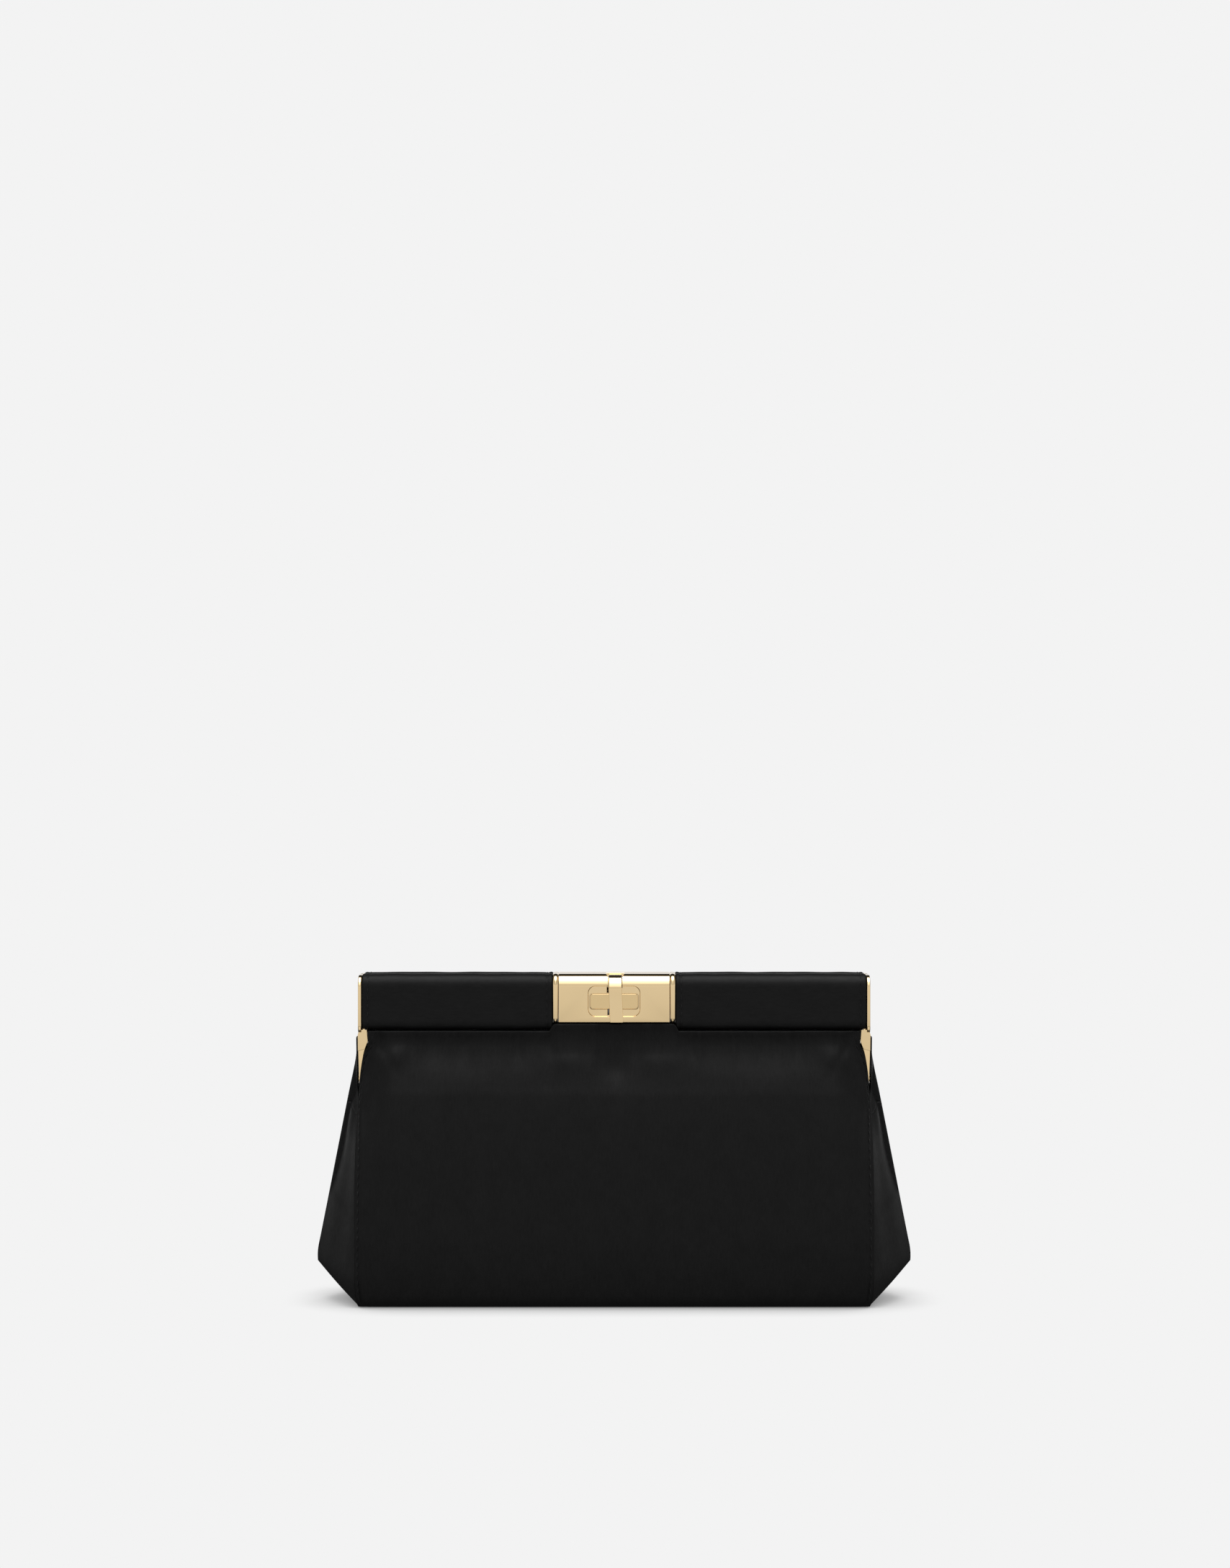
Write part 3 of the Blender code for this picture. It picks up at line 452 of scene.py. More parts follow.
def stitches(name, runs, length, width):
    """One mesh of short thread stitches. A run is (points, normals, pitch)."""
    turn = 2 * math.pi * np.arange(THREAD_SIDES) / THREAD_SIDES
    bow = np.sin(math.pi * np.arange(THREAD_RINGS) / (THREAD_RINGS - 1))[:, None]
    radius = width / 2 * (THREAD_TIP + (1 - THREAD_TIP) * bow ** 0.5)
    verts, faces = [], []
    for points, normals, pitch in runs:
        place = distances(points)
        count = int((place[-1] - length) // pitch) + 1
        margin = (place[-1] - (count - 1) * pitch) / 2
        for number in range(count):
            at = margin + number * pitch + np.linspace(-0.5, 0.5, THREAD_RINGS) * length
            line, up = sampled(at, place, points), unit(sampled(at, place, normals))
            ahead = unit(np.gradient(line, axis=0))
            centre = line + up * width * (THREAD_RISE * bow - THREAD_SINK)
            base = len(verts)
            for middle, aside, over in zip(centre, radius * np.cross(ahead, up), radius * up):
                verts.extend(middle + np.outer(np.cos(turn), aside)
                             + np.outer(np.sin(turn), over))
            last = len(verts) - THREAD_SIDES
            for first in range(base, last, THREAD_SIDES):
                for side in range(THREAD_SIDES):
                    a, b = first + side, first + (side + 1) % THREAD_SIDES
                    faces.append((a, b, b + THREAD_SIDES, a + THREAD_SIDES))
            faces.append(range(base, base + THREAD_SIDES)[::-1])
            faces.append(range(last, len(verts)))
    mesh = bpy.data.meshes.new(name)
    mesh.from_pydata(verts, [], faces)
    flat_map(mesh, 1, 2)
    return add(name, mesh, THREAD)


def inset_line(grid, normals, distance, from_end=False):
    """The line on a grid at a distance along each row from its first or last column."""
    points, ups = [], []
    for row, up in zip(grid, normals):
        if from_end:
            row, up = row[::-1], up[::-1]
        place = distances(row)
        points.append(sampled(distance, place, row))
        ups.append(sampled(distance, place, up))
    return np.array(points), np.array(ups)


# ======== satin panels
PANEL_HALF_WIDTH = hermite([
    (0.0004, 0.1150), (0.002, 0.1158), (0.005, 0.1165), (0.014, 0.1170), (0.085, 0.1170),
    (0.097, 0.1167), (0.103, 0.1162), (0.1077, 0.1154), (0.1125, 0.1142), (0.1165, 0.1122),
    (0.119, 0.1119), (0.1231, 0.1120)])
PANEL_FORWARD = hermite([
    (0.0004, 0.0290), (0.003, 0.0312), (0.007, 0.0332), (0.012, 0.0345), (0.020, 0.0350),
    (0.032, 0.0343), (0.060, 0.0301), (0.080, 0.0261), (0.094, 0.0225), (0.0990, 0.0206),
    (0.1040, 0.0186), (0.1085, 0.0166), (0.1120, 0.0151), (0.1150, 0.0140), (0.1175, 0.0133),
    (0.1200, 0.0132), (0.1216, 0.0135), (0.1231, 0.0137)])
PANEL_EDGE = hermite([
    (0.0004, 0.0286), (0.003, 0.0306), (0.007, 0.0325), (0.012, 0.0337), (0.020, 0.0339),
    (0.032, 0.0332), (0.055, 0.0296), (0.072, 0.0246), (0.083, 0.0180), (0.0908, 0.0112),
    (0.0967, 0.0070), (0.1025, 0.0068), (0.1106, 0.0098), (0.1175, 0.0126), (0.1231, 0.0132)])
PANEL_LOW, PANEL_HIGH = 0.0004, 0.1231
PANEL_WIDEST = 0.117
WRAP_FROM = 0.85             # share of the half width where the panel starts to turn back
CLOTH, LINING_CLOTH = 0.0009, 0.0006
STITCH_PITCH, STITCH_INSET, STITCH_LENGTH, STITCH_WIDTH = 0.0040, 0.0021, 0.0029, 0.00050
PANEL_RISE = 0.0033          # the panel reaches this much higher under the clasp plate
PLATE_GAP_X = (0.0276, 0.0292)   # and does so up to the rolls' inner ends
FOOT_TURN = 0.0024
TOP_TURNS = ((0.0006, 0.00022), (0.0030, 0.00034), (0.0100, 0.00034))    # each (back, up)


def panel_relief(x, z, inset):
    """How far the satin stands out from its even surface: pads, gathers and seams."""
    ax = np.abs(x)
    # Soft pads over the interlining, between the places where the frame holds the cloth.
    inner = 0.0007 * bell(ax, 0.0215, 0.0105) * bell(z, 0.1095, 0.0050)
    outer = 0.0004 * bell(ax, 0.0690, 0.0160) * bell(z, 0.0990, 0.0062)
    corner = 0.0016 * bell(ax - 0.5 * (0.118 - z), 0.0985, 0.0080) * bell(z, 0.1110, 0.0060)
    # The cloth hollows under the rolls, most of all near the outer corners.
    hollow = -0.0004 * bell(ax, 0.0800, 0.0180) - 0.0003 * bell(ax, 0.0430, 0.0120)
    corner += hollow * bell(z, 0.1150, 0.0065)
    # A short V pulled in at the middle, and darts that slant from the top corners.
    dip = -0.0012 * bell(x, 0.0004, 0.0066) * bell(z, 0.1065, 0.0065)
    dart_line = ax - (0.1085 - 0.55 * (0.1215 - z))
    dart = -0.0006 * bell(dart_line, 0, 0.0026) * smoothstep(z, 0.0990, 0.1130)
    # Gathers where the cloth goes up under the rolls.
    gather = (0.00022 * np.sin(x * 2 * math.pi / 0.0127 + 0.6)
              + 0.00016 * np.sin(x * 2 * math.pi / 0.0079 + 2.1)
              + 0.00010 * np.sin(x * 2 * math.pi / 0.0053))
    gather *= smoothstep(z, 0.1040, 0.1200)
    # Slow waves in the large flat area.
    drift = (0.00030 * np.sin(x * 2 * math.pi / 0.083 + z * 21 + 0.9)
             + 0.00022 * np.sin(x * 2 * math.pi / 0.049 - z * 37 + 2.2))
    drift *= smoothstep(z, 0.006, 0.030) * smoothstep(inset, 0.004, 0.020)
    # The sewn edge: a rolled edge, a groove under the stitches and a soft ridge inside it.
    seam = -0.00022 * bell(inset, STITCH_INSET, 0.00050)
    seam += 0.00016 * bell(inset, STITCH_INSET + 0.0016, 0.0013)
    seam -= 0.00055 * np.clip(1 - inset / 0.0008, 0, 1) ** 2
    return inner + outer + corner + dip + dart + gather + drift + seam


def panel_grid(side):
    """The outer surface of a panel, (rows, columns, 3), from the base up."""
    near_edge = np.array([0, 0.15, 0.35, 0.6, 0.9, 1.2, 1.5, 1.8, 2.1, 2.4, 2.7, 3.1, 3.6,
                          4.2, 5.0, 6.0]) * MM
    middle = np.linspace(-1, 1, 181)[1:-1] * (PANEL_WIDEST - 0.0068)
    ends = PANEL_WIDEST - near_edge
    shares = np.concatenate([-ends, middle, ends[::-1]]) / PANEL_WIDEST
    heights = np.concatenate([np.linspace(PANEL_LOW, 0.006, 12, endpoint=False),
                              np.linspace(0.006, 0.090, 84, endpoint=False),
                              np.linspace(0.090, PANEL_HIGH, 62)])
    u, h = np.meshgrid(shares, heights)
    wrap = np.clip(np.abs(u) - WRAP_FROM, 0, None) / (1 - WRAP_FROM)
    x = u * PANEL_HALF_WIDTH(h)
    forward = PANEL_FORWARD(h)
    y = side * (forward + (PANEL_EDGE(h) - forward) * wrap ** 2)
    rise = PANEL_RISE * (1 - smoothstep(np.abs(x), *PLATE_GAP_X))
    z = h + rise * smoothstep(h, 0.1120, PANEL_HIGH)
    grid = np.stack([x, y, z], axis=2)
    normals = facing(grid_normals(grid), side)
    edge = np.where(x[..., None] < 0, grid[:, :1], grid[:, -1:])
    inset = np.linalg.norm(grid - edge, axis=2)
    relief = panel_relief(x, h, inset)
    relief *= smoothstep(h, PANEL_LOW, PANEL_LOW + 0.002)
    grid = grid + normals * relief[..., None]
    # The foot turns in under the bag, and the top turns in towards the frame bar.
    foot = grid[:1].copy()
    foot[..., 1] -= side * FOOT_TURN
    top = np.repeat(grid[-1:], len(TOP_TURNS), axis=0)
    for row, (back, up) in enumerate(TOP_TURNS):
        top[row, :, 1] -= side * back
        top[row, :, 2] += up
    return np.concatenate([foot, grid, top])


for leaf, side in LEAVES:
    grid = panel_grid(side)
    panel = cloth("satin_panel_" + leaf, grid, SATIN, CLOTH, outward=(0, 0, 0.05))
    normals = facing(grid_normals(grid), side)
    runs = []
    for from_end in (False, True):
        points, ups = inset_line(grid[3:-4], normals[3:-4], STITCH_INSET, from_end)
        runs.append((points, ups, STITCH_PITCH))
    seam = stitches("panel_stitches_" + leaf, runs, STITCH_LENGTH, STITCH_WIDTH)
    for piece in (panel, seam):
        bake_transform(piece)
    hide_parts(leaf + "_panel")

# ======== gussets
WIDEST_Z, GUSSET_TOP = 0.0172, 0.1200
GUSSET_FOLD = hermite([
    (WIDEST_Z, 0.1370), (0.030, 0.1343), (0.0935, 0.1218), (0.1105, 0.1184),
    (GUSSET_TOP, 0.1177)])
GUSSET_LOW = 0.0006
GUSSET_TUCK, GUSSET_OUT = 0.0009, -0.0002
FOOT_X = 0.1118              # the gusset's foot turns in to here under the base
# The sewn edge leaves the panel's side here to pass outside the frame arm.
ARM_CLEAR_X, ARM_CLEAR_FROM, ARM_CLEAR_AT = 0.1175, 0.0907, 0.0966
GUSSET_TOP_HALF_Y = 0.0095
GUSSET_SPLIT = 0.0900        # above this the gusset is made as an upper half for each leaf
FIN_FULL, FIN_HALF_Y = 0.0012, 0.0010    # width from which the fold is fully pinched
CREASE_SEAM = (0.054, 0.104)
FIN_WIDTH = hermite([
    (0.046, 0.0), (0.053, 0.0011), (0.070, 0.0022), (0.0876, 0.0020), (0.0960, 0.0030),
    (0.104, 0.0012), (0.112, 0.0)])


def gusset_edge(height):
    """The sewn edge of the right gusset's front half."""
    share = np.clip((height - ARM_CLEAR_FROM) / (ARM_CLEAR_AT - ARM_CLEAR_FROM), 0, 1)
    x = (PANEL_HALF_WIDTH(height) + GUSSET_OUT) * (1 - share) + ARM_CLEAR_X * share
    y = PANEL_EDGE(height) - GUSSET_TUCK
    start = PANEL_EDGE(ARM_CLEAR_AT) - GUSSET_TUCK
    rise = np.clip((height - ARM_CLEAR_AT) / (GUSSET_TOP - ARM_CLEAR_AT), 0, 1)
    y = np.where(height > ARM_CLEAR_AT, start + (GUSSET_TOP_HALF_Y - start) * rise, y)
    return np.stack([x, -y, height], axis=-1)


def gusset_half(up_values, across_values):
    """Points of the right gusset's front half: rows up, columns from the seam to the fold."""
    a, t = np.meshgrid(across_values, up_values)
    height = GUSSET_LOW + t * (GUSSET_TOP - GUSSET_LOW)
    fold_z = WIDEST_Z + t * (GUSSET_TOP - WIDEST_Z)
    edge = gusset_edge(height)
    fold = np.stack([GUSSET_FOLD(fold_z), 0 * fold_z, fold_z], axis=-1)
    # The lowest, widest corner of the fold is rounded.
    fold[..., 0] -= 0.0012 * np.clip(1 - (fold_z - WIDEST_Z) / 0.0080, 0, 1) ** 2
    fin = FIN_WIDTH(fold_z)
    pinched = smoothstep(fin, 0, FIN_FULL)
    ruled = edge + (fold - edge) * a[..., None]
    reach = np.linalg.norm(fold - edge, axis=2)
    root_share = 1 - np.maximum(fin, FIN_FULL) / reach * 0.5
    root = fold.copy()
    root[..., 0] -= np.maximum(fin, 0.0001)
    root[..., 1] = -FIN_HALF_Y
    to_root = edge + (root - edge) * np.clip(a / root_share, 0, 1)[..., None]
    past = np.clip((a - root_share) / (1 - root_share), 0, 1)
    on_fin = root + (fold - root) * past[..., None]
    on_fin[..., 1] = -FIN_HALF_Y * np.sqrt(np.clip(1 - past ** 4, 0, 1))
    folded = np.where((a > root_share)[..., None], on_fin, to_root)
    grid = ruled * (1 - pinched[..., None]) + folded * pinched[..., None]
    # The half bows out softly, and slackens in slow folds lower down.
    normals = grid_normals(grid)
    normals *= np.sign(normals[..., :1].mean())
    bow = 0.0008 * np.sin(np.pi * np.clip(a, 0, 1)) * smoothstep(reach, 0.006, 0.020)
    slack = 0.00025 * np.sin(np.pi * a) * np.sin(a * 7.5 + height * 38 + 0.7)
    slack *= smoothstep(reach, 0.010, 0.024)
    # The lowest row is nearly straight, so that the foot's edge is.
    taut = smoothstep(t, 0, 0.16)
    return grid + normals * (bow * (0.45 + 0.55 * taut) + slack * taut)[..., None]


ACROSS = np.concatenate([np.linspace(0, 0.9, 46, endpoint=False), np.linspace(0.9, 1, 14)])
split_up = (GUSSET_SPLIT - WIDEST_Z) / (GUSSET_TOP - WIDEST_Z)
LOWER_UP = np.linspace(0, split_up, 80)
UPPER_UP = np.linspace(split_up, 1, 40)


for name, end in SIDES:
    half = gusset_half(LOWER_UP, ACROSS) * (end, 1, 1)
    back = half * (1, -1, 1)
    whole = np.concatenate([half, back[:, ::-1][:, 1:]], axis=1)
    # The foot: from the lowest row straight across to the middle of the base.
    target = whole[0].copy()
    target[:, 0] = end * FOOT_X
    target[:, 2] = GUSSET_LOW
    foot = [target + (whole[0] - target) * share for share in np.arange(1, 14) / 14]
    whole = np.concatenate([np.array(foot), whole])
    lower = cloth("gusset_lower_" + name, whole, SATIN, CLOTH, outward=(0, 0, 0.05))
    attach(lower, "bag_body")
    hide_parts("gusset_" + name)
    runs = []
    for side in (-1, 1):
        creased = np.linspace(*CREASE_SEAM, 60)
        root_x = end * (GUSSET_FOLD(creased) - FIN_WIDTH(creased) - 0.0001)
        line = np.stack([root_x, side * (FIN_HALF_Y + 0.0002) + 0 * creased, creased], axis=1)
        outwards = np.tile([end * 0.4, side * 0.9, 0.1], (len(creased), 1))
        runs.append((line, outwards, 0.0034))
    crease = stitches("gusset_stitches_" + name, runs, 0.0025, 0.00045)
    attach(crease, "bag_body")
    for leaf, side in LEAVES:
        upper_grid = gusset_half(UPPER_UP, ACROSS) * (end, -side, 1)
        upper = cloth("gusset_upper_" + leaf + "_" + name, upper_grid, SATIN, LINING_CLOTH,
                      outward=(0, side * 0.001, 0.105))
        start = Vector((0, 0, 0.120))
        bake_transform(upper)

# ======== base
BASE_HALF_X, BASE_HALF_Y, BASE_CORNER = 0.1125, 0.0274, 0.0030
BASE_RINGS = ((0.1, 0, 0.00105), (0.6, 0, 0.00110), (1, 0.0010, 0.00115),
              (1, 0.0003, 0.0010), (1, 0, 0.0006), (1, 0.0003, 0.0002),
              (1, 0.0010, 0.0), (0.6, 0, 0.0), (0.1, 0, 0.0))     # share, inset, height


def box_outline(a_low, a_high, b_low, b_high, radius, steps=12):
    """A rectangle's outline, rounded."""
    return rounded([(a_low, b_low, radius), (a_high, b_low, radius),
                    (a_high, b_high, radius), (a_low, b_high, radius)], steps)


base_loop = even(box_outline(-BASE_HALF_X, BASE_HALF_X, -BASE_HALF_Y, BASE_HALF_Y,
                             BASE_CORNER), 280)
base_out = outline_normals(base_loop)
base = solid("base_satin", [place_outline(base_loop * share - base_out * inset, height, "Z")
                            for share, inset, height in BASE_RINGS], SATIN)
flat_map(base.data, 0, 1)
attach(base, "bag_body")
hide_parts("base_panel")

# ======== padded rolls
ROLL_DEPTH, ROLL_LOW, ROLL_HIGH = 0.0140, 0.1237, 0.1488
ROLL_INNER_X, ROLL_OUTER_X = 0.0280, 0.1146
ROLL_BACK = 0.00025          # each leaf stops this far from the middle plane
ROLL_BACK_RADIUS, ROLL_FOOT_RADIUS, ROLL_TOP_RADIUS = 0.0010, 0.0042, 0.0055
ROLL_POINTS = 132
SEAM_RING = 11


def roll_rings(side, end):
    """Rings of a padded roll along x, as (rings, points, 3)."""
    outline = even(rounded([(side * ROLL_BACK, ROLL_LOW, ROLL_BACK_RADIUS),
                            (side * ROLL_DEPTH, ROLL_LOW, ROLL_FOOT_RADIUS),
                            (side * ROLL_DEPTH, ROLL_HIGH, ROLL_TOP_RADIUS),
                            (side * ROLL_BACK, ROLL_HIGH, ROLL_BACK_RADIUS)]), ROLL_POINTS)
    out = outline_normals(outline)
    # Only the outer side is padded: the side on the parting plane stays flat.
    front = smoothstep(np.abs(outline[:, 0]), 0.0008, 0.0045)
    length = ROLL_OUTER_X - ROLL_INNER_X
    near = np.array([0, 0.05, 0.15, 0.35, 0.6, 0.9, 1.2, 1.5, 1.75, 2.0, 2.3, 2.6, 2.9, 3.3, 3.9,
                     4.8, 6.0, 7.5, 9.5]) * MM
    places = np.concatenate([near, np.linspace(0.0117, length - 0.0117, 42),
                             (length - near)[::-1]])
    rings = []
    for place in places:
        from_end = min(place, length - place)
        x = ROLL_INNER_X + place
        edge = -0.00035 * np.clip(1 - from_end / 0.0005, 0, 1) ** 2
        strong = 1.0 if place < length / 2 else 0.45
        rim = 0.00020 * strong * bell(from_end, 0.0009, 0.0006)
        groove = -0.00018 * strong * bell(from_end, 0.0025, 0.00050)
        plump = 0.00012 * smoothstep(from_end, 0.003, 0.012)
        turn = outline[:, 1] * 140
        wave = (0.00006 * np.sin(x * 2 * math.pi / 0.031 + turn + end + side)
                + 0.00004 * np.sin(x * 2 * math.pi / 0.017 - turn * 0.7 + 2 * end))
        wave = wave * smoothstep(from_end, 0.003, 0.012)
        shift = edge + (rim + groove + plump + wave) * front
        rings.append(place_outline(outline + out * shift[:, None], end * x, "X"))
    return np.array(rings), out


for leaf, side in LEAVES:
    for name, end in SIDES:
        tag = leaf + "_" + name
        rings, out = roll_rings(side, end)
        roll = add("padded_roll_" + tag,
                   grid_mesh("roll", rings, closed=True), ROLL_SATIN)
        oriented(roll.data, ROLL_POINTS)
        roll.data.set_sharp_from_angle(angle=math.radians(60))
        # Stitches round each end, over the face and the top.
        runs = []
        face = [i for i in range(ROLL_POINTS) if abs(rings[0, i, 1]) > 0.0014]
        order = sorted(face, key=lambda i: math.atan2(rings[5, i, 2] - 0.1362,
                                                      abs(rings[5, i, 1]) - 0.0040))
        for ring in (SEAM_RING, len(rings) - 1 - SEAM_RING):
            points = rings[ring, order]
            ups = np.stack([np.zeros(len(order)), out[order, 0], out[order, 1]], axis=1)
            runs.append((points, ups, 0.0036))
        seam = stitches("roll_stitches_" + tag, runs, 0.0026, 0.00045)
        for piece in (roll, seam):
            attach(piece, leaf + "_leaf")
        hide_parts("roll_sleeve_" + tag, "roll_core_" + tag)

# ======== lining
BOARD_FOOT_Y, BOARD_HEAD_Y = 0.0290, 0.0213
WALL_LOW, WALL_HIGH = 0.0038, 0.0935
LEAN = (BOARD_FOOT_Y - BOARD_HEAD_Y) / (WALL_HIGH - WALL_LOW)
LINING_INSET = 0.0012 + 0.0003   # a board and a gap
LINING_FOOT_X, LINING_HEAD_X, LINING_TOP = 0.1095, 0.0950, 0.0955
LINING_CORNER = 0.0045


def wall_y(height, inset):
    """Distance from the middle plane of a face parallel to the wall boards."""
    return BOARD_FOOT_Y - inset - LEAN * (height - WALL_LOW)


def lining_loop(height, inset):
    """A rounded rectangle at a height inside the boards."""
    share = (height - WALL_LOW) / (LINING_TOP - WALL_LOW)
    half_x = LINING_FOOT_X + (LINING_HEAD_X - LINING_FOOT_X) * share - inset
    half_y = wall_y(height, LINING_INSET) - inset
    return even(box_outline(-half_x, half_x, -half_y, half_y, LINING_CORNER, 8), 320)


rows = []
for height in np.concatenate([np.linspace(LINING_TOP, 0.010, 54),
                              np.array([0.0075, 0.0058, 0.0046, 0.0040])]):
    sink = 0.0016 * (1 - smoothstep(height, 0.0038, 0.0090)) ** 2
    loop = lining_loop(height, 0.0002 + sink)
    inward = -outline_normals(loop)
    around = np.arange(len(loop)) / len(loop) * 2 * math.pi
    puff = 0.00045 * (1 + np.sin(around * 9 + height * 60) * np.sin(height * 95 + around * 3))
    puff = puff * smoothstep(height, 0.008, 0.03) * (1 - smoothstep(height, 0.086, 0.0945))
    rows.append(place_outline(loop + inward * puff[:, None], height, "Z"))
floor_loop = rows[-1]
for share in (0.97, 0.85, 0.6, 0.3, 0.04):
    shrunk = floor_loop.copy()
    gap_y = wall_y(0.0040, LINING_INSET) * (1 - share)
    shrunk[:, 0] = np.sign(floor_loop[:, 0]) * np.maximum(np.abs(floor_loop[:, 0]) - gap_y, 0)
    shrunk[:, 1] = floor_loop[:, 1] * share
    rows.append(shrunk)
tub_grid = np.array(rows)
tub = cloth("lining_tub", tub_grid, LINING, LINING_CLOTH, 1.0, closed=True)
oriented(tub.data, inward=True)
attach(tub, "bag_body")
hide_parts("lining")

for leaf, side in LEAVES:
    # The skirt carries the lining on up to the frame bar.
    path_y = hermite([(0, wall_y(0.0925, 0.0040)), (0.30, 0.0164), (0.60, 0.0126),
                      (0.82, 0.0078), (1, 0.0014)])
    path_z = hermite([(0, 0.0900), (0.30, 0.1000), (0.60, 0.1100), (0.82, 0.1188),
                      (1, 0.1234)])
    u, t = np.meshgrid(np.linspace(-1, 1, 121), np.linspace(0, 1, 30))
    half_x = 0.0940 + 0.0050 * smoothstep(t, 0, 0.5)
    folds = 0.0006 * np.sin(u * 31) * np.sin(np.pi * t) * smoothstep(1 - np.abs(u), 0, 0.1)
    rise = 0.0028 * (1 - smoothstep(np.abs(u * half_x), 0.0270, 0.0290))
    skirt_z = path_z(t) + rise * smoothstep(t, 0.8, 1)
    skirt_grid = np.stack([u * half_x, side * (path_y(t) + folds), skirt_z], axis=2)
    skirt = cloth("lining_skirt_" + leaf, skirt_grid, LINING, LINING_CLOTH,
                  outward=(0, 0, 0.09))
    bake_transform(skirt)

# The slip pocket on the back wall, with a hem and a stitched top.
POCKET_HALF_X, POCKET_LOW, POCKET_HEIGHT = 0.0600, 0.0200, 0.0620
HEM_ROW = 33
u, t = np.meshgrid(np.linspace(-1, 1, 61), np.linspace(0, 1, 40))
pocket_z = POCKET_LOW + POCKET_HEIGHT * t
slack = 0.0016 * (1 - u ** 4) * smoothstep(t, 0.1, 1.0)
pocket_y = wall_y(pocket_z, 0.0012 + 0.0008 + 0.0014) - slack
pocket_y -= 0.0005 * smoothstep(t, 0.86, 0.90)
pocket_grid = np.stack([u * POCKET_HALF_X, pocket_y, pocket_z], axis=2)
pocket = cloth("slip_pocket_cloth", pocket_grid, LINING, 0.0007, 0.0, outward=(0, 0.06, 0.05))
pocket_normals = facing(grid_normals(pocket_grid), -1)[HEM_ROW]
hem = stitches("pocket_stitches", [(pocket_grid[HEM_ROW] + pocket_normals * 0.0004,
                                    pocket_normals, 0.0030)], 0.0021, 0.0004)
for piece in (pocket, hem):
    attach(piece, "bag_body")
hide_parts("slip_pocket")

# ======== gold clasp
PLATE_HALF_X, PLATE_FACE, PLATE_BACK = 0.0252, 0.0142, 0.0033
PLATE_LOW, PLATE_HIGH, PLATE_ROUND = 0.1271, 0.1490, 0.0055
LIP_LOW = 0.1467
COLLAR_INNER_X, COLLAR_WIDTH = 0.02535, 0.00255
COLLAR_SAG = 0.00090         # from the collar's middle to its edges
RECESS_FACE = 0.0130
RECESS_FLOOR = 0.0116        # the moat round the catch pad goes down to here
PAST = 0.0010                # cutters run this far past the face they open
CLASP_X, CHANNEL_HALF_X, MOUTH_HALF_X = 0.0005, 0.0032, 0.0041
PIN_Y, PIN_Z = -0.0054, 0.1469
CAP_LOW, CAP_HIGH, CAP_X = 0.1220, 0.1484, (0.1149, 0.1164)
FLANGE = ((0.1165, 0.1140), (0.1166, 0.1215), (0.1160, 0.1236), (0.1124, 0.1236),
          (0.1120, 0.1184), (0.1133, 0.1150))


def plate_outline(side, face, low, high, foot=0.0006):
    """Section of a plate or collar in (y, z)."""
    return rounded([(side * PLATE_BACK, low, 0.0), (side * face, low, foot),
                    (side * face, high, PLATE_ROUND), (side * ROLL_BACK, high, 0.0004),
                    (side * ROLL_BACK, LIP_LOW, 0.0), (side * PLATE_BACK, LIP_LOW, 0.0)], 20)


def block(name, x_range, z_range, radius, y_range, steps=3, material=GOLD):
    """A solid with rounded corners, extruded along Y."""
    outline = box_outline(*x_range, *z_range, radius, steps)
    return prism(name, outline, *y_range, "Y", material)


def bead(name, side, end):
    """A collar whose face is rounded across its width, like half-round wire."""
    low = PLATE_LOW - 0.0003
    outline = np.array(plate_outline(side, PLATE_FACE + 0.0004, low, PLATE_HIGH + 0.0001,
                                     0.0022))
    # The face narrows towards its foot.
    narrow = 0.38 * np.clip(1 - (outline[:, 1] - low) / 0.0036, 0, 1) ** 2 * (
        np.abs(outline[:, 0]) > 0.008)
    out = outline_normals(outline)
    shown = smoothstep(np.abs(outline[:, 0]), PLATE_BACK, PLATE_BACK + 0.0010)
    sections = []
    for t in np.sin(np.linspace(-0.5, 0.5, 15) * math.pi) * 0.985:
        inset = COLLAR_SAG * (1 - math.sqrt(1 - t * t))
        section = place_outline(outline - out * (inset * shown)[:, None], 0, "X")
        section[:, 0] = end * (COLLAR_INNER_X + COLLAR_WIDTH * (1 + t * (1 - narrow)) / 2)
        sections.append(section)
    return solid(name, sections, GOLD)


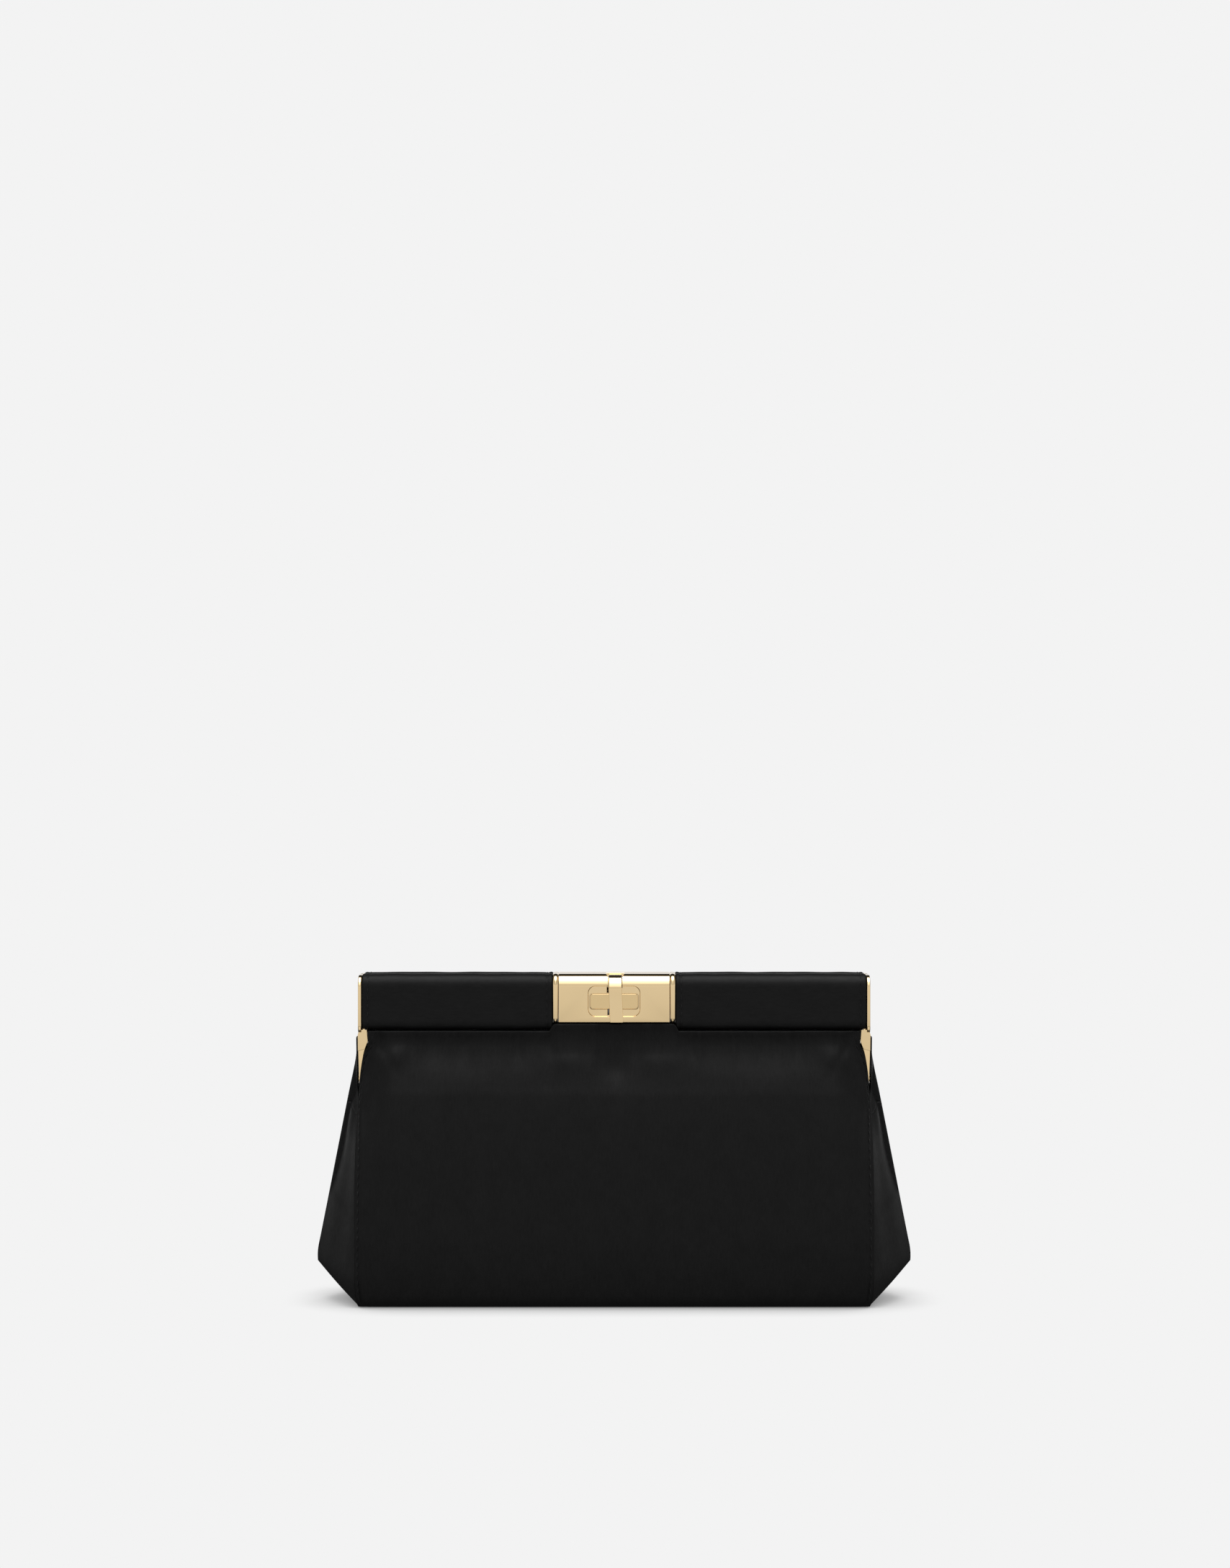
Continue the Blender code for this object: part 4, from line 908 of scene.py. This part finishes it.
for leaf, side in LEAVES:
    plate = prism("gold_plate_" + leaf,
                  plate_outline(side, PLATE_FACE, PLATE_LOW, PLATE_HIGH),
                  -PLATE_HALF_X, PLATE_HALF_X, "X", GOLD)
    cut(plate, block("cavity", (-0.0198, 0.0198), (0.1285, 0.1430), 0.0015,
                     sorted((side * (PLATE_BACK - PAST), side * 0.0102)), 4))
    if side < 0:
        # The recess flares by 0.3 mm where it meets the face.
        recess = solid("recess", [
            place_outline(box_outline(-0.0117 - grow, 0.0117 + grow, 0.1300 - grow,
                                      0.1436 + grow, 0.0032 + grow), y, "Y")
            for y, grow in ((-RECESS_FACE, 0), (-PLATE_FACE + 0.0003, 0),
                            (-PLATE_FACE - 0.0001, 0.0003), (-PLATE_FACE - PAST, 0.0003))],
            GOLD)
        moat = block("moat", (-0.0111, 0.0111), (0.1330, 0.1403), 0.0014,
                     (-PLATE_FACE - PAST, -RECESS_FLOOR), 8)
        right = [(CHANNEL_HALF_X, 0.1426), (CHANNEL_HALF_X, PLATE_HIGH - 0.0017),
                 (MOUTH_HALF_X, PLATE_HIGH), (MOUTH_HALF_X, PLATE_HIGH + PAST)]
        left = [(-x, z) for x, z in reversed(right)]
        channel = prism("channel", [(CLASP_X + x, z) for x, z in right + left],
                        -PLATE_FACE - PAST, PAST, "Y", GOLD)
        heel = block("heel", (CLASP_X - CHANNEL_HALF_X, CLASP_X + CHANNEL_HALF_X),
                     (0.1400, 0.1431), 0.0004, (-0.0080, 0.0005))
        # Narrow slots beside the strap, above and below the catch pad.
        slots = [block("slot", (x - 0.0004, x + 0.0004), z_range, 0.0002, (-PLATE_FACE, -0.0095))
                 for x, z_range in ((-0.0029, (0.1405, 0.1433)), (-0.0026, (0.1304, 0.1332)))]
        cut(plate, recess, moat, channel, heel, *slots)
    crisp(plate, 0.00022, 3, 40)
    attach(plate, leaf + "_leaf")
    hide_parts("clasp_plate_" + leaf)
    for name, end in SIDES:
        tag = leaf + "_" + name
        collar = bead("gold_collar_" + tag, side, end)
        crisp(collar, 0, 0, 50)
        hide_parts("collar_" + tag)
        cap = prism("gold_end_cap_" + tag,
                    rounded([(side * ROLL_BACK, CAP_LOW, 0.0012),
                             (side * ROLL_DEPTH, CAP_LOW, 0.0036),
                             (side * ROLL_DEPTH, CAP_HIGH, ROLL_TOP_RADIUS),
                             (side * ROLL_BACK, CAP_HIGH, 0.0012)], 20),
                    *sorted(end * x for x in CAP_X), "X", GOLD)
        crisp(cap, 0.00035, 4, 40)
        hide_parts("end_cap_" + tag)
        # A flange of the hinge arm fills the corner between the roll, the cap and the panel.
        flange = prism("gold_arm_flange_" + tag, [(end * x, z) for x, z in FLANGE],
                       *sorted((side * 0.0112, side * 0.0123)), "Y", GOLD)
        crisp(flange, 0.0002, 2, 30)
        for piece in (collar, cap, flange):
            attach(piece, leaf + "_leaf")

pad = block("gold_catch_pad", (-0.0108, 0.0108), (0.1333, 0.1400), 0.0011,
            (-0.0136, -RECESS_FLOOR - 0.0003), 8, GOLD_PAD)
crisp(pad, 0.00022, 3, 40)
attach(pad, "front_leaf")
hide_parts("catch_pad")

STRAP_FACE, STRAP_THICK, STRAP_LOW, BEND = 0.0160, 0.0014, 0.1272, 0.0064
EYE, HEEL, HEEL_HALF_THICK, STRAP_HALF_X = 0.0016, 0.0036, 0.0006, 0.0030
STRAP_LEAN = math.tan(math.radians(2.5))


def arc(centre, radius, first, last, steps):
    """Points on an arc, in degrees."""
    return [(centre[0] + radius * math.cos(math.radians(angle)),
             centre[1] + radius * math.sin(math.radians(angle)))
            for angle in np.linspace(first, last, steps)]


bend_centre = (-STRAP_FACE + BEND, PIN_Z + EYE - BEND)
strap_outline = arc(bend_centre, BEND, 90, 180, 25)
strap_outline += [(-STRAP_FACE, z) for z in np.linspace(bend_centre[1], STRAP_LOW, 12)[1:]]
strap_outline += [(-STRAP_FACE + STRAP_THICK, z)
                  for z in np.linspace(STRAP_LOW, bend_centre[1], 12)[:-1]]
strap_outline += arc(bend_centre, BEND - STRAP_THICK, 180, 90, 25)
strap_outline += arc((PIN_Y, PIN_Z), EYE, 170, 270, 9)
strap_outline += [(PIN_Y + HEEL, PIN_Z + rise) for rise in (-HEEL_HALF_THICK, HEEL_HALF_THICK)]
strap_outline += arc((PIN_Y, PIN_Z), EYE, 45, 90, 5)
strap = prism("gold_clasp_strap", strap_outline, CLASP_X - STRAP_HALF_X,
              CLASP_X + STRAP_HALF_X, "X", GOLD)
for vertex in strap.data.vertices:
    vertex.co.x += max(bend_centre[1] - vertex.co.z, 0) * STRAP_LEAN
crisp(strap, 0.00035, 4, 50)
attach(strap, "clasp_strap")
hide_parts("clasp_lever")

# ======== carried-over CAD nodes
FINISH = (("hinge_arm", GOLD, 0.00025), ("hinge_rivet", GOLD, 0.00012),
          ("frame_bar", STEEL, 0.00012), ("closing_magnet", MAGNET, 0.00015),
          ("catch_magnet", MAGNET, 0.00015), ("plate_screw", STEEL, 0.0001),
          ("catch_tongue", STEEL, 0.00012), ("lever_pin", STEEL, 0.00005),
          ("front_board", BOARD, 0), ("back_board", BOARD, 0), ("base_board", BOARD, 0))
for name, piece in NODES.items():
    for start, material, width in FINISH:
        if name.startswith(start) and not piece.hide_render:
            piece.data.materials.clear()
            piece.data.materials.append(material)
            if width:
                bevel(piece, width, 2, 40)

# ======== stage, light and camera
WHITE = 0.8963
# The floor's painted contact shadow: how far it reaches, and its shades by occlusion.
CONTACT_REACH = 0.036
CONTACT_SHADE = ((0.0, 0.08), (0.24, 0.34), (0.42, 0.44), (0.62, 0.72), (0.84, WHITE))
DOME_RADIUS = 8.0


# The floor and the backdrop are seen by the camera only, so that they don't light the bag.
for name, make, values in (
        ("floor", bmesh.ops.create_circle, {"cap_ends": True, "segments": 96}),
        ("backdrop", bmesh.ops.create_uvsphere, {"u_segments": 64, "v_segments": 32})):
    shape = bmesh.new()
    make(shape, radius=DOME_RADIUS, **values)
    mesh = bpy.data.meshes.new(name)
    shape.to_mesh(mesh)
    shape.free()
    material = bpy.data.materials.new(name + "_white")
    material.use_nodes = True
    tree = material.node_tree
    tree.nodes.clear()
    emission = tree.nodes.new("ShaderNodeEmission")
    tree.links.new(emission.outputs[0], tree.nodes.new("ShaderNodeOutputMaterial").inputs[0])
    emission.inputs["Color"].default_value = (WHITE, WHITE, WHITE, 1)
    if name == "floor":
        # Painted contact shadow: its glow is darkened by ambient occlusion close to what stands
        # on it.
        occlusion = node(tree, "ShaderNodeAmbientOcclusion", samples=16,
                         in_Distance=CONTACT_REACH)
        tree.links.new(ramp(tree, occlusion.outputs["AO"], CONTACT_SHADE),
                       emission.inputs["Color"])
    mesh.materials.append(material)
    piece = bpy.data.objects.new(name, mesh)
    COLLECTION.objects.link(piece)
    for kind in ("diffuse", "glossy", "transmission", "shadow"):
        setattr(piece, "visible_" + kind, False)

# A soft studio: a bright ceiling, pale walls and a dimmer floor, by direction.
world = bpy.data.worlds.new("studio")
bpy.context.scene.world = world
world.use_nodes = True
tree = world.node_tree
background = tree.nodes["Background"]
direction = tree.nodes.new("ShaderNodeTexCoord").outputs["Generated"]
split = tree.nodes.new("ShaderNodeSeparateXYZ")
tree.links.new(direction, split.inputs[0])


def between(socket, low, high, rising=True):
    """A smooth step of a socket's value, from 0 to 1 or from 1 to 0."""
    made = node(tree, "ShaderNodeMapRange", interpolation_type="SMOOTHSTEP", in_From_Min=low,
                in_From_Max=high, in_To_Min=0.0 if rising else 1.0,
                in_To_Max=1.0 if rising else 0.0)
    tree.links.new(socket, made.inputs["Value"])
    return made.outputs[0]


def product(*factors):
    """The product of several sockets or numbers."""
    result = factors[0]
    for factor in factors[1:]:
        result = math_node(tree, "MULTIPLY", result, factor)
    return result


away_x = math_node(tree, "ABSOLUTE", split.outputs[0], 0)
toward_y, up_z = split.outputs[1], split.outputs[2]
share = math_node(tree, "MULTIPLY_ADD", up_z, 0.5)      # 0 straight down, 1 straight up
share.node.inputs[2].default_value = 0.5
WALLS = ((-1.0, 0.14), (-0.36, 0.26), (-0.17, 0.62), (-0.075, 0.86), (0.0, 0.90),
         (0.09, 0.92), (0.26, 0.70), (0.55, 0.64), (0.80, 0.80), (1.0, 1.00))
WALL_TOP = 1.4
walls = ramp(tree, share, [((z + 1) / 2, value / WALL_TOP) for z, value in WALLS])
walls = math_node(tree, "MULTIPLY", walls, WALL_TOP)
softbox = product(between(up_z, 0.72, 0.92), between(away_x, 0.42, 0.62, False),
                  between(toward_y, 0.24, 0.32, False), 2.4)
strip = product(between(up_z, 0.15, 0.72), between(away_x, 0.06, 0.14, False),
                between(toward_y, 0.24, 0.32, False), 1.4)
card = product(between(toward_y, -0.50, -0.30, False), between(up_z, -0.40, -0.28, False),
               between(away_x, 0.22, 0.32, False), 0.70)
flag = product(between(toward_y, 0.27, 0.35), between(up_z, 0.12, 0.26),
               between(away_x, 0.35, 0.50, False), -0.95)
low_back = product(between(toward_y, 0.20, 0.50), between(up_z, -0.20, -0.05, False), -0.85)
sides = product(between(away_x, 0.36, 0.52), between(toward_y, 0.05, 0.30),
                between(up_z, -0.22, 0.06), -0.78)
light = walls
for lamp in (softbox, strip, card):
    light = math_node(tree, "ADD", light, lamp)
light = product(light, *(math_node(tree, "ADD", dark, 1.0) for dark in (flag, low_back, sides)))
tree.links.new(light, background.inputs["Strength"])
background.inputs["Color"].default_value = (1, 1, 1, 1)

LENS_MM = 75.1
CAMERA_PLACE = (0.0004, -1.5, 0.2355)
camera_data = bpy.data.cameras.new("camera")
camera = bpy.data.objects.new("camera", camera_data)
COLLECTION.objects.link(camera)
camera_data.lens = LENS_MM
camera_data.sensor_width = 36.0
camera_data.clip_start = 0.05
camera_data.clip_end = 40.0
camera.location = CAMERA_PLACE
camera.rotation_euler = (math.radians(90), 0, 0)
bpy.context.scene.camera = camera
bpy.context.scene.view_settings.view_transform = "Standard"
bpy.context.scene.view_settings.look = "None"

bpy.context.view_layer.update()
